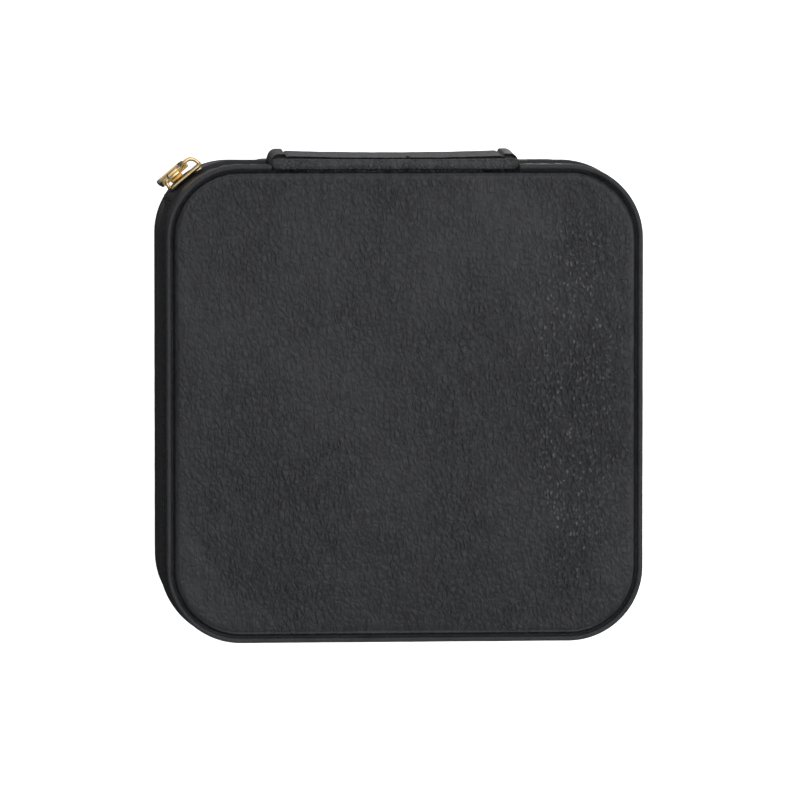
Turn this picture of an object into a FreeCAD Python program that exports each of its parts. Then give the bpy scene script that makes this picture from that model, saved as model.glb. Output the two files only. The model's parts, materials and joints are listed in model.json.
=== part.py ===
import FreeCAD, Part
import math
import os
from FreeCAD import Vector

# Square zip-round jewellery case: leather over greyboard, hinged at the back by a leather strap.
# Millimetres. +Z is up, the hinge is at +Y, the case stands on z = 0 with its middle at x = y = 0.

# ---- driving dimensions ----
CASE_HALF = 50.0        # half of the outer width and depth, at the leather side band
CASE_H = 50.0           # height, from the table to the top of the padded lid
CORNER_R = 15.5         # outer corner radius
CORNER_C = CASE_HALF - CORNER_R     # each corner's arcs are all struck from (+-CORNER_C, +-CORNER_C)

LEATHER = 0.9           # outer leather
LINING = 0.7            # suede lining
FLOOR_LINING = 0.9      # the padded lining of the floor
WALL_BOARD = 2.6        # greyboard in the side walls
PANEL_BOARD = 2.2       # greyboard in the lid and floor panels
LIP = 1.5               # lined card lip that stands inside the base wall

ZIP_Z = 32.0            # middle plane of the zip
ZIP_OPENING = 4.0       # leather edge to the middle plane
BOARD_SETBACK = 3.8     # board edge to the middle plane
LIP_TOP = ZIP_Z + 3.7

TAPE = 0.5              # zip tape thickness
TAPE_SEWN_FROM = 3.6    # the tape steps back under the leather from here on
TAPE_SEWN_TO = 12.5     # half of the closed tape's whole width
TAPE_CLEARANCE = 0.05   # from the leather's edge
TAPE_MID = 49.6         # half-width of the exposed tape's middle surface
FOLD_OUT = CASE_HALF + 0.7          # the tape's edge is folded over the face of the coil
FOLD_FROM = 2.75        # the fold starts here, off the middle plane
FOLD_STEP = 0.35
COIL_IN = 48.5          # inner face of the coil
COIL_EDGE = 0.35        # each half of the coil, from and to, off the middle plane
COIL_TO = 2.4

PIPING_R = 0.55
PIPING_HALF = CASE_HALF - 0.4
PIPING_LIFT = 1.4       # piping centre above the table, and below the top of the lid
WELT = 0.3              # flat seam allowance of the piping, sewn in over the board
WELT_FAR = 2.1          # its far face, from the table and from the top of the lid
PANEL_HALF = CASE_HALF - 1.55       # padded panels, inside a narrow groove beside the piping
PANEL_ROLL = 1.0        # rounding of the padded lid panel's rim
FLOOR_ROLL = 0.4        # rounding of the bottom panel's rim

STRAP_X0 = -28.0        # the hinge strap's two ends, on the back wall
STRAP_X1 = 24.0
STRAP_END_W = 3.2       # its two ends are raised
STRAP_END_RISE = 0.5
STRAP_EDGE_R = 0.4
HINGE_GAP = 0.05        # each half of the folding line between lid and base
# Outer face of the strap, as (y, z) from the fold outwards: its slack stands out over the zip.
STRAP_LID = (
    (51.9, ZIP_Z + HINGE_GAP),
    (52.3, 33.6),
    (52.35, 35.0),
    (52.0, 38.0),
    (51.6, 42.0),
    (51.3, 46.0),
)
STRAP_BASE = (
    (51.9, ZIP_Z - HINGE_GAP),
    (51.4, 29.5),
    (50.8, 27.0),
    (50.4, 24.0),
)
HINGE_LINING_Y = 47.2
HINGE_LINING_T = 0.7
HINGE_LINING_INSET = 1.0

# ---- slider, in its own axes: t towards the closed end, n outwards, w up, from the corner's centre ----
SLIDER_ANGLE = 130.0    # where the slider rests on the back left corner, degrees from +X
SLIDER_HALF_L = 4.4
SLIDER_HALF_W = 3.45
SLIDER_CORNER_R = 1.4
PLATE = 0.6
OUTER_PLATE_N = 16.3    # inner face of the outer plate
INNER_PLATE_N = 12.6    # inner face of the inner plate
FLANGE_W = 0.6
OUTER_FLANGE_N = 15.45
INNER_FLANGE_N = 14.1
POST_T0 = 1.0
POST_T1 = 4.0
POST_HALF_W = 0.25

BAR_N = 18.25           # axis of the bridge's bar, which the pull swings on
BAR_R = 0.45
BAR_T1 = 0.6
BAR_OVERLAP = 0.2       # how deep the bar runs into the bridge at each end
BRIDGE_HALF_W = 0.9
REAR_LEG_T0 = -4.3
REAR_LEG_T1 = -3.4
FRONT_LEG_T0 = 3.3
FRONT_LEG_T1 = 4.2
ARCH_LEAN = 0.7
ARCH_BEVEL = 0.5
EYE_R = 1.3
EYE_BORE_R = 0.55
NECK_FROM = 0.9         # the neck starts this far under the eye's middle, inside its wall
EYE_T0 = -3.2
EYE_T1 = 0.4
TAB = 1.2               # thickness of the pull
TAB_T0 = -5.0
TAB_T1 = 2.2
TAB_TOP_W = -2.4
TAB_END_W = -18.5
TAB_CORNER_R = 1.5

STOP_ANGLE_0 = 108.0    # the two top stops, between these angles on the slider's corner
STOP_ANGLE_1 = 111.2
TEETH_END_ANGLE = 111.4
FLEX_ANGLE = 152.0      # the lid's half of the zip bends free of the slider up to here
BOTTOM_STOP_X0 = STRAP_X1 + 1.0
BOTTOM_STOP_L = 2.4
BOTTOM_STOP_HALF_W = 1.6
STOP_CLEARANCE = 0.2

# ---- fittings inside ----
FIT = 0.2               # what lies in the base tray clears its lip by this
DIVIDER = 1.6
DIVIDER_LONG_Y = 3.8
DIVIDER_TOP = 30.0
SIDE_DIVIDER_X = 15.0
RISER_TOP = 14.0
ROLLS = 4
ROLL_GAP = 0.5
ROLL_TOP = 32.0

MIRROR_W = 70.0
MIRROR_L = 40.0
MIRROR_Y = -22.0
MIRROR_CORNER_R = 4.0
MIRROR_T = 1.6
MIRROR_FRAME_W = 2.0
MIRROR_FRAME_LIP = 1.0
MIRROR_FRAME_LIP_T = 0.4

POCKET_HALF_W = 39.0
POCKET_Y0 = 4.0
POCKET_Y1 = 43.5
POCKET_CLOTH = 0.8
POCKET_RISE = 0.6
POCKET_HEM = 1.5
ELASTIC_W = 1.8
ELASTIC_T = 1.2

# ---- worked out from the above ----
BOARD_OUT = CASE_HALF - LEATHER
BOARD_IN = BOARD_OUT - WALL_BOARD
LIP_IN = BOARD_IN - LIP
LID_LINING_IN = BOARD_IN - LINING
TAPE_SEWN_OUT = BOARD_OUT
TAPE_SEWN_IN = BOARD_OUT - TAPE
TRAY_HALF = LIP_IN - FIT
FLOOR_BOARD_TOP = LEATHER + PANEL_BOARD
FLOOR_TOP = FLOOR_BOARD_TOP + FLOOR_LINING
LID_BOARD_TOP = CASE_H - WELT_FAR
LID_BOARD_BOTTOM = LID_BOARD_TOP - PANEL_BOARD
CEILING = LID_BOARD_BOTTOM - LINING
PANEL_BOARD_HALF = PANEL_HALF
FAR = 30.0              # reaches past every wall
CORNER = Vector(-CORNER_C, CORNER_C, 0)     # the slider's corner


# ---- shapes ----
def rounded_outline(half_x, half_y, radius, z, centre=(0.0, 0.0)):
    """A closed outline of a rectangle with round corners."""
    ends = []
    edges = []
    for k in range(4):
        start = math.radians(90 * k)
        sx = (1, -1, -1, 1)[k]
        sy = (1, 1, -1, -1)[k]
        middle = Vector(centre[0] + sx * (half_x - radius), centre[1] + sy * (half_y - radius), z)
        arc = [
            middle + Vector(radius * math.cos(a), radius * math.sin(a), 0)
            for a in (start, start + math.pi / 4, start + math.pi / 2)
        ]
        edges.append(Part.Arc(*arc).toShape())
        ends.append((arc[0], arc[2]))
    for k in range(4):
        edges.append(Part.LineSegment(ends[k][1], ends[(k + 1) % 4][0]).toShape())
    return Part.Wire(Part.__sortEdges__(edges))


def slab(half, z0, z1):
    """A square slab with the case's own corners."""
    face = Part.Face(rounded_outline(half, half, half - CORNER_C, z0))
    return face.extrude(Vector(0, 0, z1 - z0))


def ring(outer, inner, z0, z1):
    return slab(outer, z0, z1).cut(slab(inner, z0, z1))


def plate(half_x, half_y, radius, centre, z0, z1):
    face = Part.Face(rounded_outline(half_x, half_y, radius, z0, centre))
    return face.extrude(Vector(0, 0, z1 - z0))


def box(x0, x1, y0, y1, z0, z1):
    return Part.makeBox(x1 - x0, y1 - y0, z1 - z0, Vector(x0, y0, z0))


def prism(points, direction):
    """A solid from the corner points of one face, drawn out along a vector."""
    return Part.Face(Part.makePolygon(points + points[:1])).extrude(direction)


def joined(shapes):
    return shapes[0].fuse(shapes[1:]).removeSplitter()


def rounded(solid, radius, wanted):
    """The solid with a fillet on every edge that wanted() picks."""
    return solid.makeFillet(radius, [e for e in solid.Edges if wanted(e)])


def at_height(z):
    def test(edge):
        return abs(edge.BoundBox.ZMin - z) < 1e-6 and abs(edge.BoundBox.ZMax - z) < 1e-6

    return test


def mirrored_in_zip(solid):
    """The same piece on the other side of the zip's middle plane."""
    return solid.mirror(Vector(0, 0, ZIP_Z), Vector(0, 0, 1))


def on_corner(angle):
    """The direction from the slider's corner centre at an angle from +X."""
    return Vector(math.cos(math.radians(angle)), math.sin(math.radians(angle)), 0)


def upright(points):
    """A tall prism over points in plan, for cutting."""
    return prism([Vector(p.x, p.y, -FAR) for p in points], Vector(0, 0, CASE_H + 2 * FAR))


def back_opening():
    """The stretch of the back wall that the hinge strap takes."""
    return box(STRAP_X0, STRAP_X1, CORNER_C, CASE_HALF + FAR, -FAR, CASE_H + FAR)


def corner_sector(angle_0, angle_1):
    return upright([CORNER, CORNER + on_corner(angle_0) * FAR, CORNER + on_corner(angle_1) * FAR])


def flexible_end():
    """The lid's zip from the strap's end, round the corner, to where it stays on the wall."""
    return upright([
        CORNER,
        CORNER + on_corner(FLEX_ANGLE) * 2 * FAR,
        Vector(STRAP_X0, CORNER_C + 3 * FAR, 0),
        Vector(STRAP_X0, CORNER_C, 0),
    ])


def teeth_opening():
    """The stretch at the back that has no teeth, from the top stops to the bottom stop."""
    end_x = BOTTOM_STOP_X0 + BOTTOM_STOP_L + STOP_CLEARANCE
    return upright([
        CORNER,
        CORNER + on_corner(TEETH_END_ANGLE) * FAR,
        Vector(end_x, CORNER_C + FAR, 0),
        Vector(end_x, CORNER_C, 0),
    ])


# ---- base: board, leather and lining ----
def base_panel_leather():
    return rounded(slab(PANEL_HALF, 0, LEATHER), FLOOR_ROLL, at_height(0))


def base_panel_board():
    return slab(PANEL_BOARD_HALF, LEATHER, FLOOR_BOARD_TOP)


def wall_board(z0, z1, tape_z0, tape_z1):
    """A wall of greyboard, thinned on the outside where the zip tape is glued to it."""
    return ring(BOARD_OUT, BOARD_IN, z0, z1).cut(ring(BOARD_OUT, TAPE_SEWN_IN, tape_z0, tape_z1))


def base_wall_board():
    top = ZIP_Z - BOARD_SETBACK
    return wall_board(FLOOR_BOARD_TOP, top, ZIP_Z - TAPE_SEWN_TO, top)


def side_band(z0, z1):
    return ring(CASE_HALF, BOARD_OUT, z0, z1).cut(back_opening())


def base_side_leather():
    return side_band(WELT_FAR, ZIP_Z - ZIP_OPENING)


def piping(z, welt_z0):
    """A round bead along the outer edge with its flat welt, open at the hinge strap."""
    path = rounded_outline(PIPING_HALF, PIPING_HALF, PIPING_HALF - CORNER_C, z)
    start = Vector(0, -PIPING_HALF, z)
    edge = [e for e in path.Edges if abs(e.CenterOfMass.y + PIPING_HALF) < 1e-6][0]
    halves = [
        Part.LineSegment(start, edge.Vertexes[1].Point).toShape(),
        Part.LineSegment(edge.Vertexes[0].Point, start).toShape(),
    ]
    others = [e for e in path.Edges if not e.isSame(edge)]
    run = Part.Wire(Part.__sortEdges__(halves[:1] + others + halves[1:]))
    section = Part.Wire(Part.Circle(start, Vector(1, 0, 0), PIPING_R).toShape())
    bead = run.makePipeShell([section], True, False)
    welt = ring(PIPING_HALF, PANEL_HALF, welt_z0, welt_z0 + WELT)
    return joined([bead, welt]).cut(back_opening())


def base_piping():
    return piping(PIPING_LIFT, WELT_FAR - WELT)


def base_lining_floor():
    return slab(LIP_IN, FLOOR_BOARD_TOP, FLOOR_TOP)


def base_lining_rim():
    """The lined lip: it stands inside the wall and rises past the zip into the lid."""
    return ring(BOARD_IN, LIP_IN, FLOOR_BOARD_TOP, LIP_TOP)


# ---- lid: board, padding, leather and lining ----
def lid_panel_leather():
    skin = rounded(slab(PANEL_HALF, LID_BOARD_TOP, CASE_H), PANEL_ROLL, at_height(CASE_H))
    return skin.cut(lid_foam_pad())


def lid_foam_pad():
    return slab(PANEL_HALF - LEATHER, LID_BOARD_TOP, CASE_H - LEATHER)


def lid_panel_board():
    return slab(PANEL_BOARD_HALF, LID_BOARD_BOTTOM, LID_BOARD_TOP)


def lid_wall_board():
    bottom = ZIP_Z + BOARD_SETBACK
    return wall_board(bottom, LID_BOARD_BOTTOM, bottom, ZIP_Z + TAPE_SEWN_TO)


def lid_side_leather():
    return side_band(ZIP_Z + ZIP_OPENING, LID_BOARD_TOP)


def lid_piping():
    return piping(CASE_H - PIPING_LIFT, LID_BOARD_TOP)


def lid_lining_panel():
    return slab(LID_LINING_IN, CEILING, LID_BOARD_BOTTOM)


def lid_lining_wall():
    return ring(BOARD_IN, LID_LINING_IN, ZIP_Z + ZIP_OPENING, LID_BOARD_BOTTOM)


# ---- zip ----
def tape():
    """The base half of the tape: sewn under the leather, then out and folded over the coil."""
    outer = TAPE_MID + TAPE / 2
    inner = TAPE_MID - TAPE / 2
    step_z0 = ZIP_Z - ZIP_OPENING + TAPE_CLEARANCE
    step_z1 = ZIP_Z - TAPE_SEWN_FROM
    fold_z0 = ZIP_Z - FOLD_FROM
    parts = [
        ring(TAPE_SEWN_OUT, TAPE_SEWN_IN, ZIP_Z - TAPE_SEWN_TO, step_z1),
        ring(outer, TAPE_SEWN_IN, step_z0, step_z1),
        ring(outer, inner, step_z0, fold_z0 + FOLD_STEP),
        ring(FOLD_OUT, inner, fold_z0, fold_z0 + FOLD_STEP),
        ring(FOLD_OUT, FOLD_OUT - TAPE, fold_z0, ZIP_Z - COIL_EDGE),
    ]
    return joined(parts).cut(back_opening())


def coil_ring():
    return ring(FOLD_OUT - TAPE, COIL_IN, ZIP_Z - COIL_TO, ZIP_Z - COIL_EDGE)


def teeth():
    """The base half of the nylon coil, behind the tape's fold."""
    return coil_ring().cut(teeth_opening())


def top_stop():
    """A metal clip behind the tape's fold, past the coil's last turn."""
    return coil_ring().common(corner_sector(STOP_ANGLE_0, STOP_ANGLE_1))


def bottom_stop_block(clearance):
    return box(
        BOTTOM_STOP_X0 - clearance / 2,
        BOTTOM_STOP_X0 + BOTTOM_STOP_L + clearance / 2,
        COIL_IN - clearance,
        FOLD_OUT + clearance,
        ZIP_Z - BOTTOM_STOP_HALF_W - clearance,
        ZIP_Z + BOTTOM_STOP_HALF_W + clearance,
    )


def lid_tape():
    return mirrored_in_zip(tape()).cut(bottom_stop_block(STOP_CLEARANCE))


def zip_nodes():
    lid_half = lid_tape()
    lid_teeth = mirrored_in_zip(teeth())
    loose = flexible_end()
    return {
        "base_zip_tape": tape(),
        "base_zip_teeth": teeth(),
        "zip_top_stop_base": top_stop(),
        "zip_bottom_stop": bottom_stop_block(0).cut(tape()),
        "lid_zip_tape": lid_half.cut(loose),
        "lid_zip_tape_end": lid_half.common(loose),
        "lid_zip_teeth": lid_teeth.cut(loose),
        "lid_zip_teeth_end": lid_teeth.common(loose),
        "zip_top_stop_lid": mirrored_in_zip(top_stop()),
    }


# ---- slider and pull ----
def placed_on_corner(solid):
    """From the slider's own axes to its place on the corner."""
    solid.rotate(Vector(0, 0, 0), Vector(0, 0, 1), SLIDER_ANGLE - 90)
    solid.translate(CORNER + Vector(0, 0, ZIP_Z))
    return solid


def slider_plate(n0, n1):
    outline = rounded_outline(SLIDER_HALF_L, SLIDER_HALF_W, SLIDER_CORNER_R, 0)
    solid = Part.Face(outline).extrude(Vector(0, 0, n1 - n0))
    solid.rotate(Vector(0, 0, 0), Vector(1, 0, 0), -90)
    solid.translate(Vector(0, n0, 0))
    return solid


def slider_body():
    """Two plates with turned-in flanges, joined by the post that parts the teeth."""
    outer = slider_plate(OUTER_FLANGE_N, OUTER_PLATE_N + PLATE)
    inner = slider_plate(INNER_PLATE_N, INNER_FLANGE_N)
    channel = SLIDER_HALF_W - FLANGE_W
    hollow = box(
        -SLIDER_HALF_L, SLIDER_HALF_L, INNER_PLATE_N + PLATE, OUTER_PLATE_N, -channel, channel
    )
    post = box(
        POST_T0, POST_T1, INNER_PLATE_N + PLATE, OUTER_PLATE_N, -POST_HALF_W, POST_HALF_W
    )
    return placed_on_corner(joined([outer.cut(hollow), inner.cut(hollow), post]))


def slider_bridge():
    """A flat arch on the outer plate, thinned to a round bar where the pull hangs."""
    foot_n = OUTER_PLATE_N + PLATE
    top_n = BAR_N + BAR_R
    under_n = BAR_N - BAR_R
    rear = [
        (REAR_LEG_T0, foot_n),
        (REAR_LEG_T1, foot_n),
        (REAR_LEG_T1, top_n),
        (REAR_LEG_T0 + ARCH_BEVEL, top_n),
        (REAR_LEG_T0, top_n - ARCH_BEVEL),
    ]
    front = [
        (BAR_T1, under_n),
        (FRONT_LEG_T0 - ARCH_LEAN, under_n),
        (FRONT_LEG_T0, foot_n),
        (FRONT_LEG_T1, foot_n),
        (FRONT_LEG_T1 - ARCH_LEAN, top_n - ARCH_BEVEL),
        (FRONT_LEG_T1 - ARCH_LEAN - ARCH_BEVEL, top_n),
        (BAR_T1, top_n),
    ]
    width = Vector(0, 0, 2 * BRIDGE_HALF_W)
    legs = [
        prism([Vector(t, n, -BRIDGE_HALF_W) for t, n in profile], width)
        for profile in (rear, front)
    ]
    bar_t0 = REAR_LEG_T1 - BAR_OVERLAP
    bar_length = BAR_T1 + BAR_OVERLAP - bar_t0
    bar = Part.makeCylinder(BAR_R, bar_length, Vector(bar_t0, BAR_N, 0), Vector(1, 0, 0))
    return placed_on_corner(joined(legs + [bar]))


def pull_tab():
    """A flat tab hanging from a rolled eye on the bridge's bar."""
    length = EYE_T1 - EYE_T0
    eye = Part.makeCylinder(EYE_R, length, Vector(EYE_T0, BAR_N, 0), Vector(1, 0, 0))
    bore = Part.makeCylinder(EYE_BORE_R, length, Vector(EYE_T0, BAR_N, 0), Vector(1, 0, 0))
    front = BAR_N - TAB / 2
    neck = box(EYE_T0, EYE_T1, front, front + TAB, TAB_TOP_W - TAB_CORNER_R, -NECK_FROM)
    middle = ((TAB_T0 + TAB_T1) / 2, (TAB_TOP_W + TAB_END_W) / 2)
    half_t = (TAB_T1 - TAB_T0) / 2
    half_w = (TAB_TOP_W - TAB_END_W) / 2
    face = Part.Face(rounded_outline(half_t, half_w, TAB_CORNER_R, 0, (middle[0], -middle[1])))
    tab = face.extrude(Vector(0, 0, TAB))
    tab.rotate(Vector(0, 0, 0), Vector(1, 0, 0), -90)
    tab.translate(Vector(0, front, 0))
    return placed_on_corner(joined([eye, neck, tab]).cut(bore))


# ---- hinge ----
def strap_half(face, end_rise):
    """Half of the strap, between the fold and the panel's plane that it turns over."""
    upper = face[0][1] > ZIP_Z
    lip_z = CASE_H - PIPING_LIFT if upper else PIPING_LIFT
    inner_z = lip_z - PIPING_R if upper else lip_z + PIPING_R
    field_y = face[-1][0]
    profile = [(BOARD_OUT, inner_z), (BOARD_OUT, face[0][1])] + list(face) + [(field_y, inner_z)]
    field = [Vector(STRAP_X0, y, z) for y, z in profile]
    parts = [prism(field, Vector(STRAP_X1 - STRAP_X0, 0, 0))]
    for x0 in (STRAP_X0, STRAP_X1 - STRAP_END_W):
        raised = [Vector(x0, y + end_rise if y > CASE_HALF else y, z) for y, z in profile]
        parts.append(prism(raised, Vector(STRAP_END_W, 0, 0)))
    lip_in = PIPING_HALF - PIPING_R
    lip = box(STRAP_X0, STRAP_X1, lip_in, field_y, lip_z - PIPING_R, lip_z + PIPING_R)
    outer_z = lip_z + PIPING_R if upper else lip_z - PIPING_R
    parts.append(rounded(lip, STRAP_EDGE_R, at_height(outer_z)))
    return joined(parts)


def hinge_strap_lid():
    return strap_half(STRAP_LID, STRAP_END_RISE)


def hinge_strap_base():
    return strap_half(STRAP_BASE, STRAP_END_RISE / 2)


def hinge_lining_base():
    """The strip that closes the gap between the boards on the inside of the hinge."""
    return box(
        STRAP_X0 + HINGE_LINING_INSET,
        STRAP_X1 - HINGE_LINING_INSET,
        HINGE_LINING_Y,
        HINGE_LINING_Y + HINGE_LINING_T,
        ZIP_Z - BOARD_SETBACK,
        ZIP_Z - HINGE_GAP,
    )


# ---- inside the base ----
def tray_block(y0, y1, z0, z1):
    """A block across the tray, cut to the tray's round corners."""
    return slab(TRAY_HALF, z0, z1).common(box(-CASE_HALF, CASE_HALF, y0, y1, z0, z1))


def ring_roll(index):
    """One padded roll of the ring holder, round-topped, running the tray's width."""
    y_from = DIVIDER_LONG_Y + DIVIDER / 2
    pitch = (TRAY_HALF - y_from) / ROLLS
    radius = (pitch - ROLL_GAP) / 2
    y = y_from + pitch * (index + 0.5)
    stem = box(-CASE_HALF, CASE_HALF, y - radius, y + radius, RISER_TOP, ROLL_TOP - radius)
    crown = Part.makeCylinder(
        radius, 2 * CASE_HALF, Vector(-CASE_HALF, y, ROLL_TOP - radius), Vector(1, 0, 0)
    )
    return stem.fuse(crown).removeSplitter().common(slab(TRAY_HALF, RISER_TOP, ROLL_TOP))


def tray_nodes():
    long_y0 = DIVIDER_LONG_Y - DIVIDER / 2
    long_y1 = DIVIDER_LONG_Y + DIVIDER / 2
    nodes = {
        "divider_long": tray_block(long_y0, long_y1, FLOOR_TOP, DIVIDER_TOP),
        "ring_roll_riser": tray_block(long_y1, TRAY_HALF, FLOOR_TOP, RISER_TOP),
    }
    for side, x in (("left", -SIDE_DIVIDER_X), ("right", SIDE_DIVIDER_X)):
        nodes["divider_" + side] = box(
            x - DIVIDER / 2, x + DIVIDER / 2, -TRAY_HALF, long_y0, FLOOR_TOP, DIVIDER_TOP
        )
    for index in range(ROLLS):
        nodes["ring_roll_%d" % (index + 1)] = ring_roll(index)
    return nodes


# ---- inside the lid ----
def mirror():
    return plate(
        MIRROR_W / 2, MIRROR_L / 2, MIRROR_CORNER_R, (0, MIRROR_Y), CEILING - MIRROR_T, CEILING
    )


def mirror_frame():
    """A covered card frame that holds the glass by a small lip."""
    lip_z = CEILING - MIRROR_T - MIRROR_FRAME_LIP_T
    grow = MIRROR_FRAME_W
    body = plate(
        MIRROR_W / 2 + grow,
        MIRROR_L / 2 + grow,
        MIRROR_CORNER_R + grow,
        (0, MIRROR_Y),
        lip_z,
        CEILING,
    )
    window = plate(
        MIRROR_W / 2 - MIRROR_FRAME_LIP,
        MIRROR_L / 2 - MIRROR_FRAME_LIP,
        MIRROR_CORNER_R - MIRROR_FRAME_LIP,
        (0, MIRROR_Y),
        lip_z,
        CEILING,
    )
    return body.cut(window).cut(mirror())


def lid_pocket():
    """A flat cloth pocket on the lining, closed on three sides and open towards the mirror."""
    z0 = CEILING - POCKET_RISE - POCKET_CLOTH
    whole = box(-POCKET_HALF_W, POCKET_HALF_W, POCKET_Y0, POCKET_Y1, z0, CEILING)
    inside = box(
        -POCKET_HALF_W + POCKET_HEM,
        POCKET_HALF_W - POCKET_HEM,
        POCKET_Y0,
        POCKET_Y1 - POCKET_HEM,
        CEILING - POCKET_RISE,
        CEILING,
    )
    return whole.cut(inside)


def pocket_elastic():
    z0 = CEILING - POCKET_RISE - POCKET_CLOTH
    return box(
        -POCKET_HALF_W, POCKET_HALF_W, POCKET_Y0 - ELASTIC_W, POCKET_Y0, z0, z0 + ELASTIC_T
    )


def all_nodes():
    nodes = {}
    for maker in (
        base_panel_leather,
        base_panel_board,
        base_wall_board,
        base_side_leather,
        base_piping,
        base_lining_floor,
        base_lining_rim,
        lid_panel_leather,
        lid_foam_pad,
        lid_panel_board,
        lid_wall_board,
        lid_side_leather,
        lid_piping,
        lid_lining_panel,
        lid_lining_wall,
        hinge_strap_lid,
        hinge_strap_base,
        hinge_lining_base,
        slider_body,
        slider_bridge,
        pull_tab,
        mirror,
        mirror_frame,
        lid_pocket,
        pocket_elastic,
    ):
        nodes[maker.__name__] = maker()
    nodes["hinge_lining_lid"] = mirrored_in_zip(nodes["hinge_lining_base"])
    nodes.update(zip_nodes())
    nodes.update(tray_nodes())
    return nodes


def main():
    os.makedirs("parts", exist_ok=True)
    for name, solid in sorted(all_nodes().items()):
        solid.exportStep("parts/" + name + ".step")
        print(name, solid.isValid(), len(solid.Solids), round(solid.Volume, 1))


main()
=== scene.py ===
import json
import math

import bmesh
import bpy
import numpy as np
from mathutils import Matrix, Vector, noise


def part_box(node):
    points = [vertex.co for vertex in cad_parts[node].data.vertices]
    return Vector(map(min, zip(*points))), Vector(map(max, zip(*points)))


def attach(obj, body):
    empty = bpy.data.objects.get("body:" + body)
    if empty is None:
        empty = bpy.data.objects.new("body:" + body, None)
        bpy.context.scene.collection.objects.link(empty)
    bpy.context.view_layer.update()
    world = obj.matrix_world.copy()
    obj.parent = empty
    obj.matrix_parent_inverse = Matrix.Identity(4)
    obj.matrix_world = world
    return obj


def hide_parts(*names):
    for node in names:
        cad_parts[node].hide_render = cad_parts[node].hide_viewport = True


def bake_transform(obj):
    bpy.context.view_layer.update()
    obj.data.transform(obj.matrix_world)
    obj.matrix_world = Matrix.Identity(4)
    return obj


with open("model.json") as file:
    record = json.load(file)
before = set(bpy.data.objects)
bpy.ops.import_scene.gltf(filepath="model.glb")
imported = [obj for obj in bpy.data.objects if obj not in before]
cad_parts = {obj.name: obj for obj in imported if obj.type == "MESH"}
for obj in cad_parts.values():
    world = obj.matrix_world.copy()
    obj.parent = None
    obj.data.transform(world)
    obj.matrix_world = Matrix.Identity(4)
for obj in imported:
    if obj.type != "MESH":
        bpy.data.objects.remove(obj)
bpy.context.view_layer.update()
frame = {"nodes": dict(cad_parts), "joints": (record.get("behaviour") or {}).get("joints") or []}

# Sizes in this script are in millimetres; MM turns them into Blender's metres.
MM = 0.001
JOINTS = {j["name"]: j for j in frame["joints"]}
NODES = frame["nodes"]


def low(node):
    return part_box(node)[0] / MM


def high(node):
    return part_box(node)[1] / MM


# ---- driving dimensions, from the frame ----
CORNER = Vector(JOINTS["slider_travel"]["pos_m"]) / MM
CORE = CORNER.y                     # every corner arc is struck from (+-CORE, +-CORE)
ZIP_Z = CORNER.z
HALF = high("base_side_leather").x
R_OUT = HALF - CORE                 # the leather's outer face, off the core square
HEIGHT = high("lid_panel_leather").z
PANEL_HALF = high("lid_panel_leather").x
BOARD_TOP = high("lid_panel_board").z
LEATHER = 0.9                       # thickness of the side and panel leather
WELT = 0.3                          # thickness of the piping's flat welt
PIPE_R = 0.55                       # radius of the piping's bead
PIPE_OFF = high("lid_piping").x - PIPE_R - CORE
LID_PIPE_Z = high("lid_piping").z - PIPE_R
BASE_PIPE_Z = low("base_piping").z + PIPE_R
STRAP_X0 = low("hinge_strap_lid").x
STRAP_X1 = high("hinge_strap_lid").x
STRAP_END_Y = high("hinge_strap_lid").y
LID_EDGE_Z = low("lid_side_leather").z
BASE_EDGE_Z = high("base_side_leather").z
FOLD_OUT = high("base_zip_tape").x - CORE       # outer face of the tape, folded over the coil
TAPE_OFF = FOLD_OUT - 1.1                       # where the tape leaves the leather
COIL_OUT = high("base_zip_teeth").x - CORE
COIL_IN = COIL_OUT - 1.7                        # the coil's depth is 1.7
LIP_IN = high("base_lining_floor").x - CORE
LIP_OUT = high("base_lining_rim").x - CORE
LIP_FOOT = low("base_lining_rim").z
LIP_TOP = high("base_lining_rim").z
CEILING = low("lid_lining_panel").z
CORNERS = ((1, 1), (-1, 1), (-1, -1), (1, -1))  # the signs of the four corners, going round


# ---- meshes ----
def add_object(name, data):
    piece = bpy.data.objects.new(name, data)
    bpy.context.scene.collection.objects.link(piece)
    return piece


def mesh_piece(name, points, faces, material):
    """A smooth piece from points in millimetres, with its normals turned outwards."""
    mesh = bpy.data.meshes.new(name)
    mesh.from_pydata((np.asarray(points, float) * MM).tolist(), [], [list(f) for f in faces])
    bm = bmesh.new()
    bm.from_mesh(mesh)
    bmesh.ops.recalc_face_normals(bm, faces=bm.faces[:])
    bm.to_mesh(mesh)
    bm.free()
    mesh.shade_smooth()
    mesh.materials.append(material)
    return add_object(name, mesh)


def fit(piece, body, slot_name, *nodes):
    """The piece stands for these CAD nodes, which it hides, and rides on that body. slot_name is not used."""
    if nodes:
        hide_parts(*nodes)
    if body:
        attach(piece, body)
    return piece


def grid_faces(rows, columns, closed_rows, closed_columns):
    """Quads over a grid of points stored row by row."""
    faces = []
    for i in range(rows if closed_rows else rows - 1):
        for j in range(columns if closed_columns else columns - 1):
            a = i * columns + j
            b = i * columns + (j + 1) % columns
            c = ((i + 1) % rows) * columns + (j + 1) % columns
            d = ((i + 1) % rows) * columns + j
            faces.append((a, b, c, d))
    return faces


def shell_faces(rows, columns):
    """Faces of two matching grids, one stored after the other, joined round their edges."""
    other = rows * columns
    front = grid_faces(rows, columns, False, False)
    faces = front + [tuple(other + i for i in reversed(f)) for f in front]
    for i in range(rows - 1):
        for j in (0, columns - 1):
            a, b = i * columns + j, (i + 1) * columns + j
            faces.append((a, b, other + b, other + a))
    for j in range(columns - 1):
        for i in (0, rows - 1):
            a = i * columns + j
            faces.append((a, a + 1, other + a + 1, other + a))
    return faces


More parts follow.
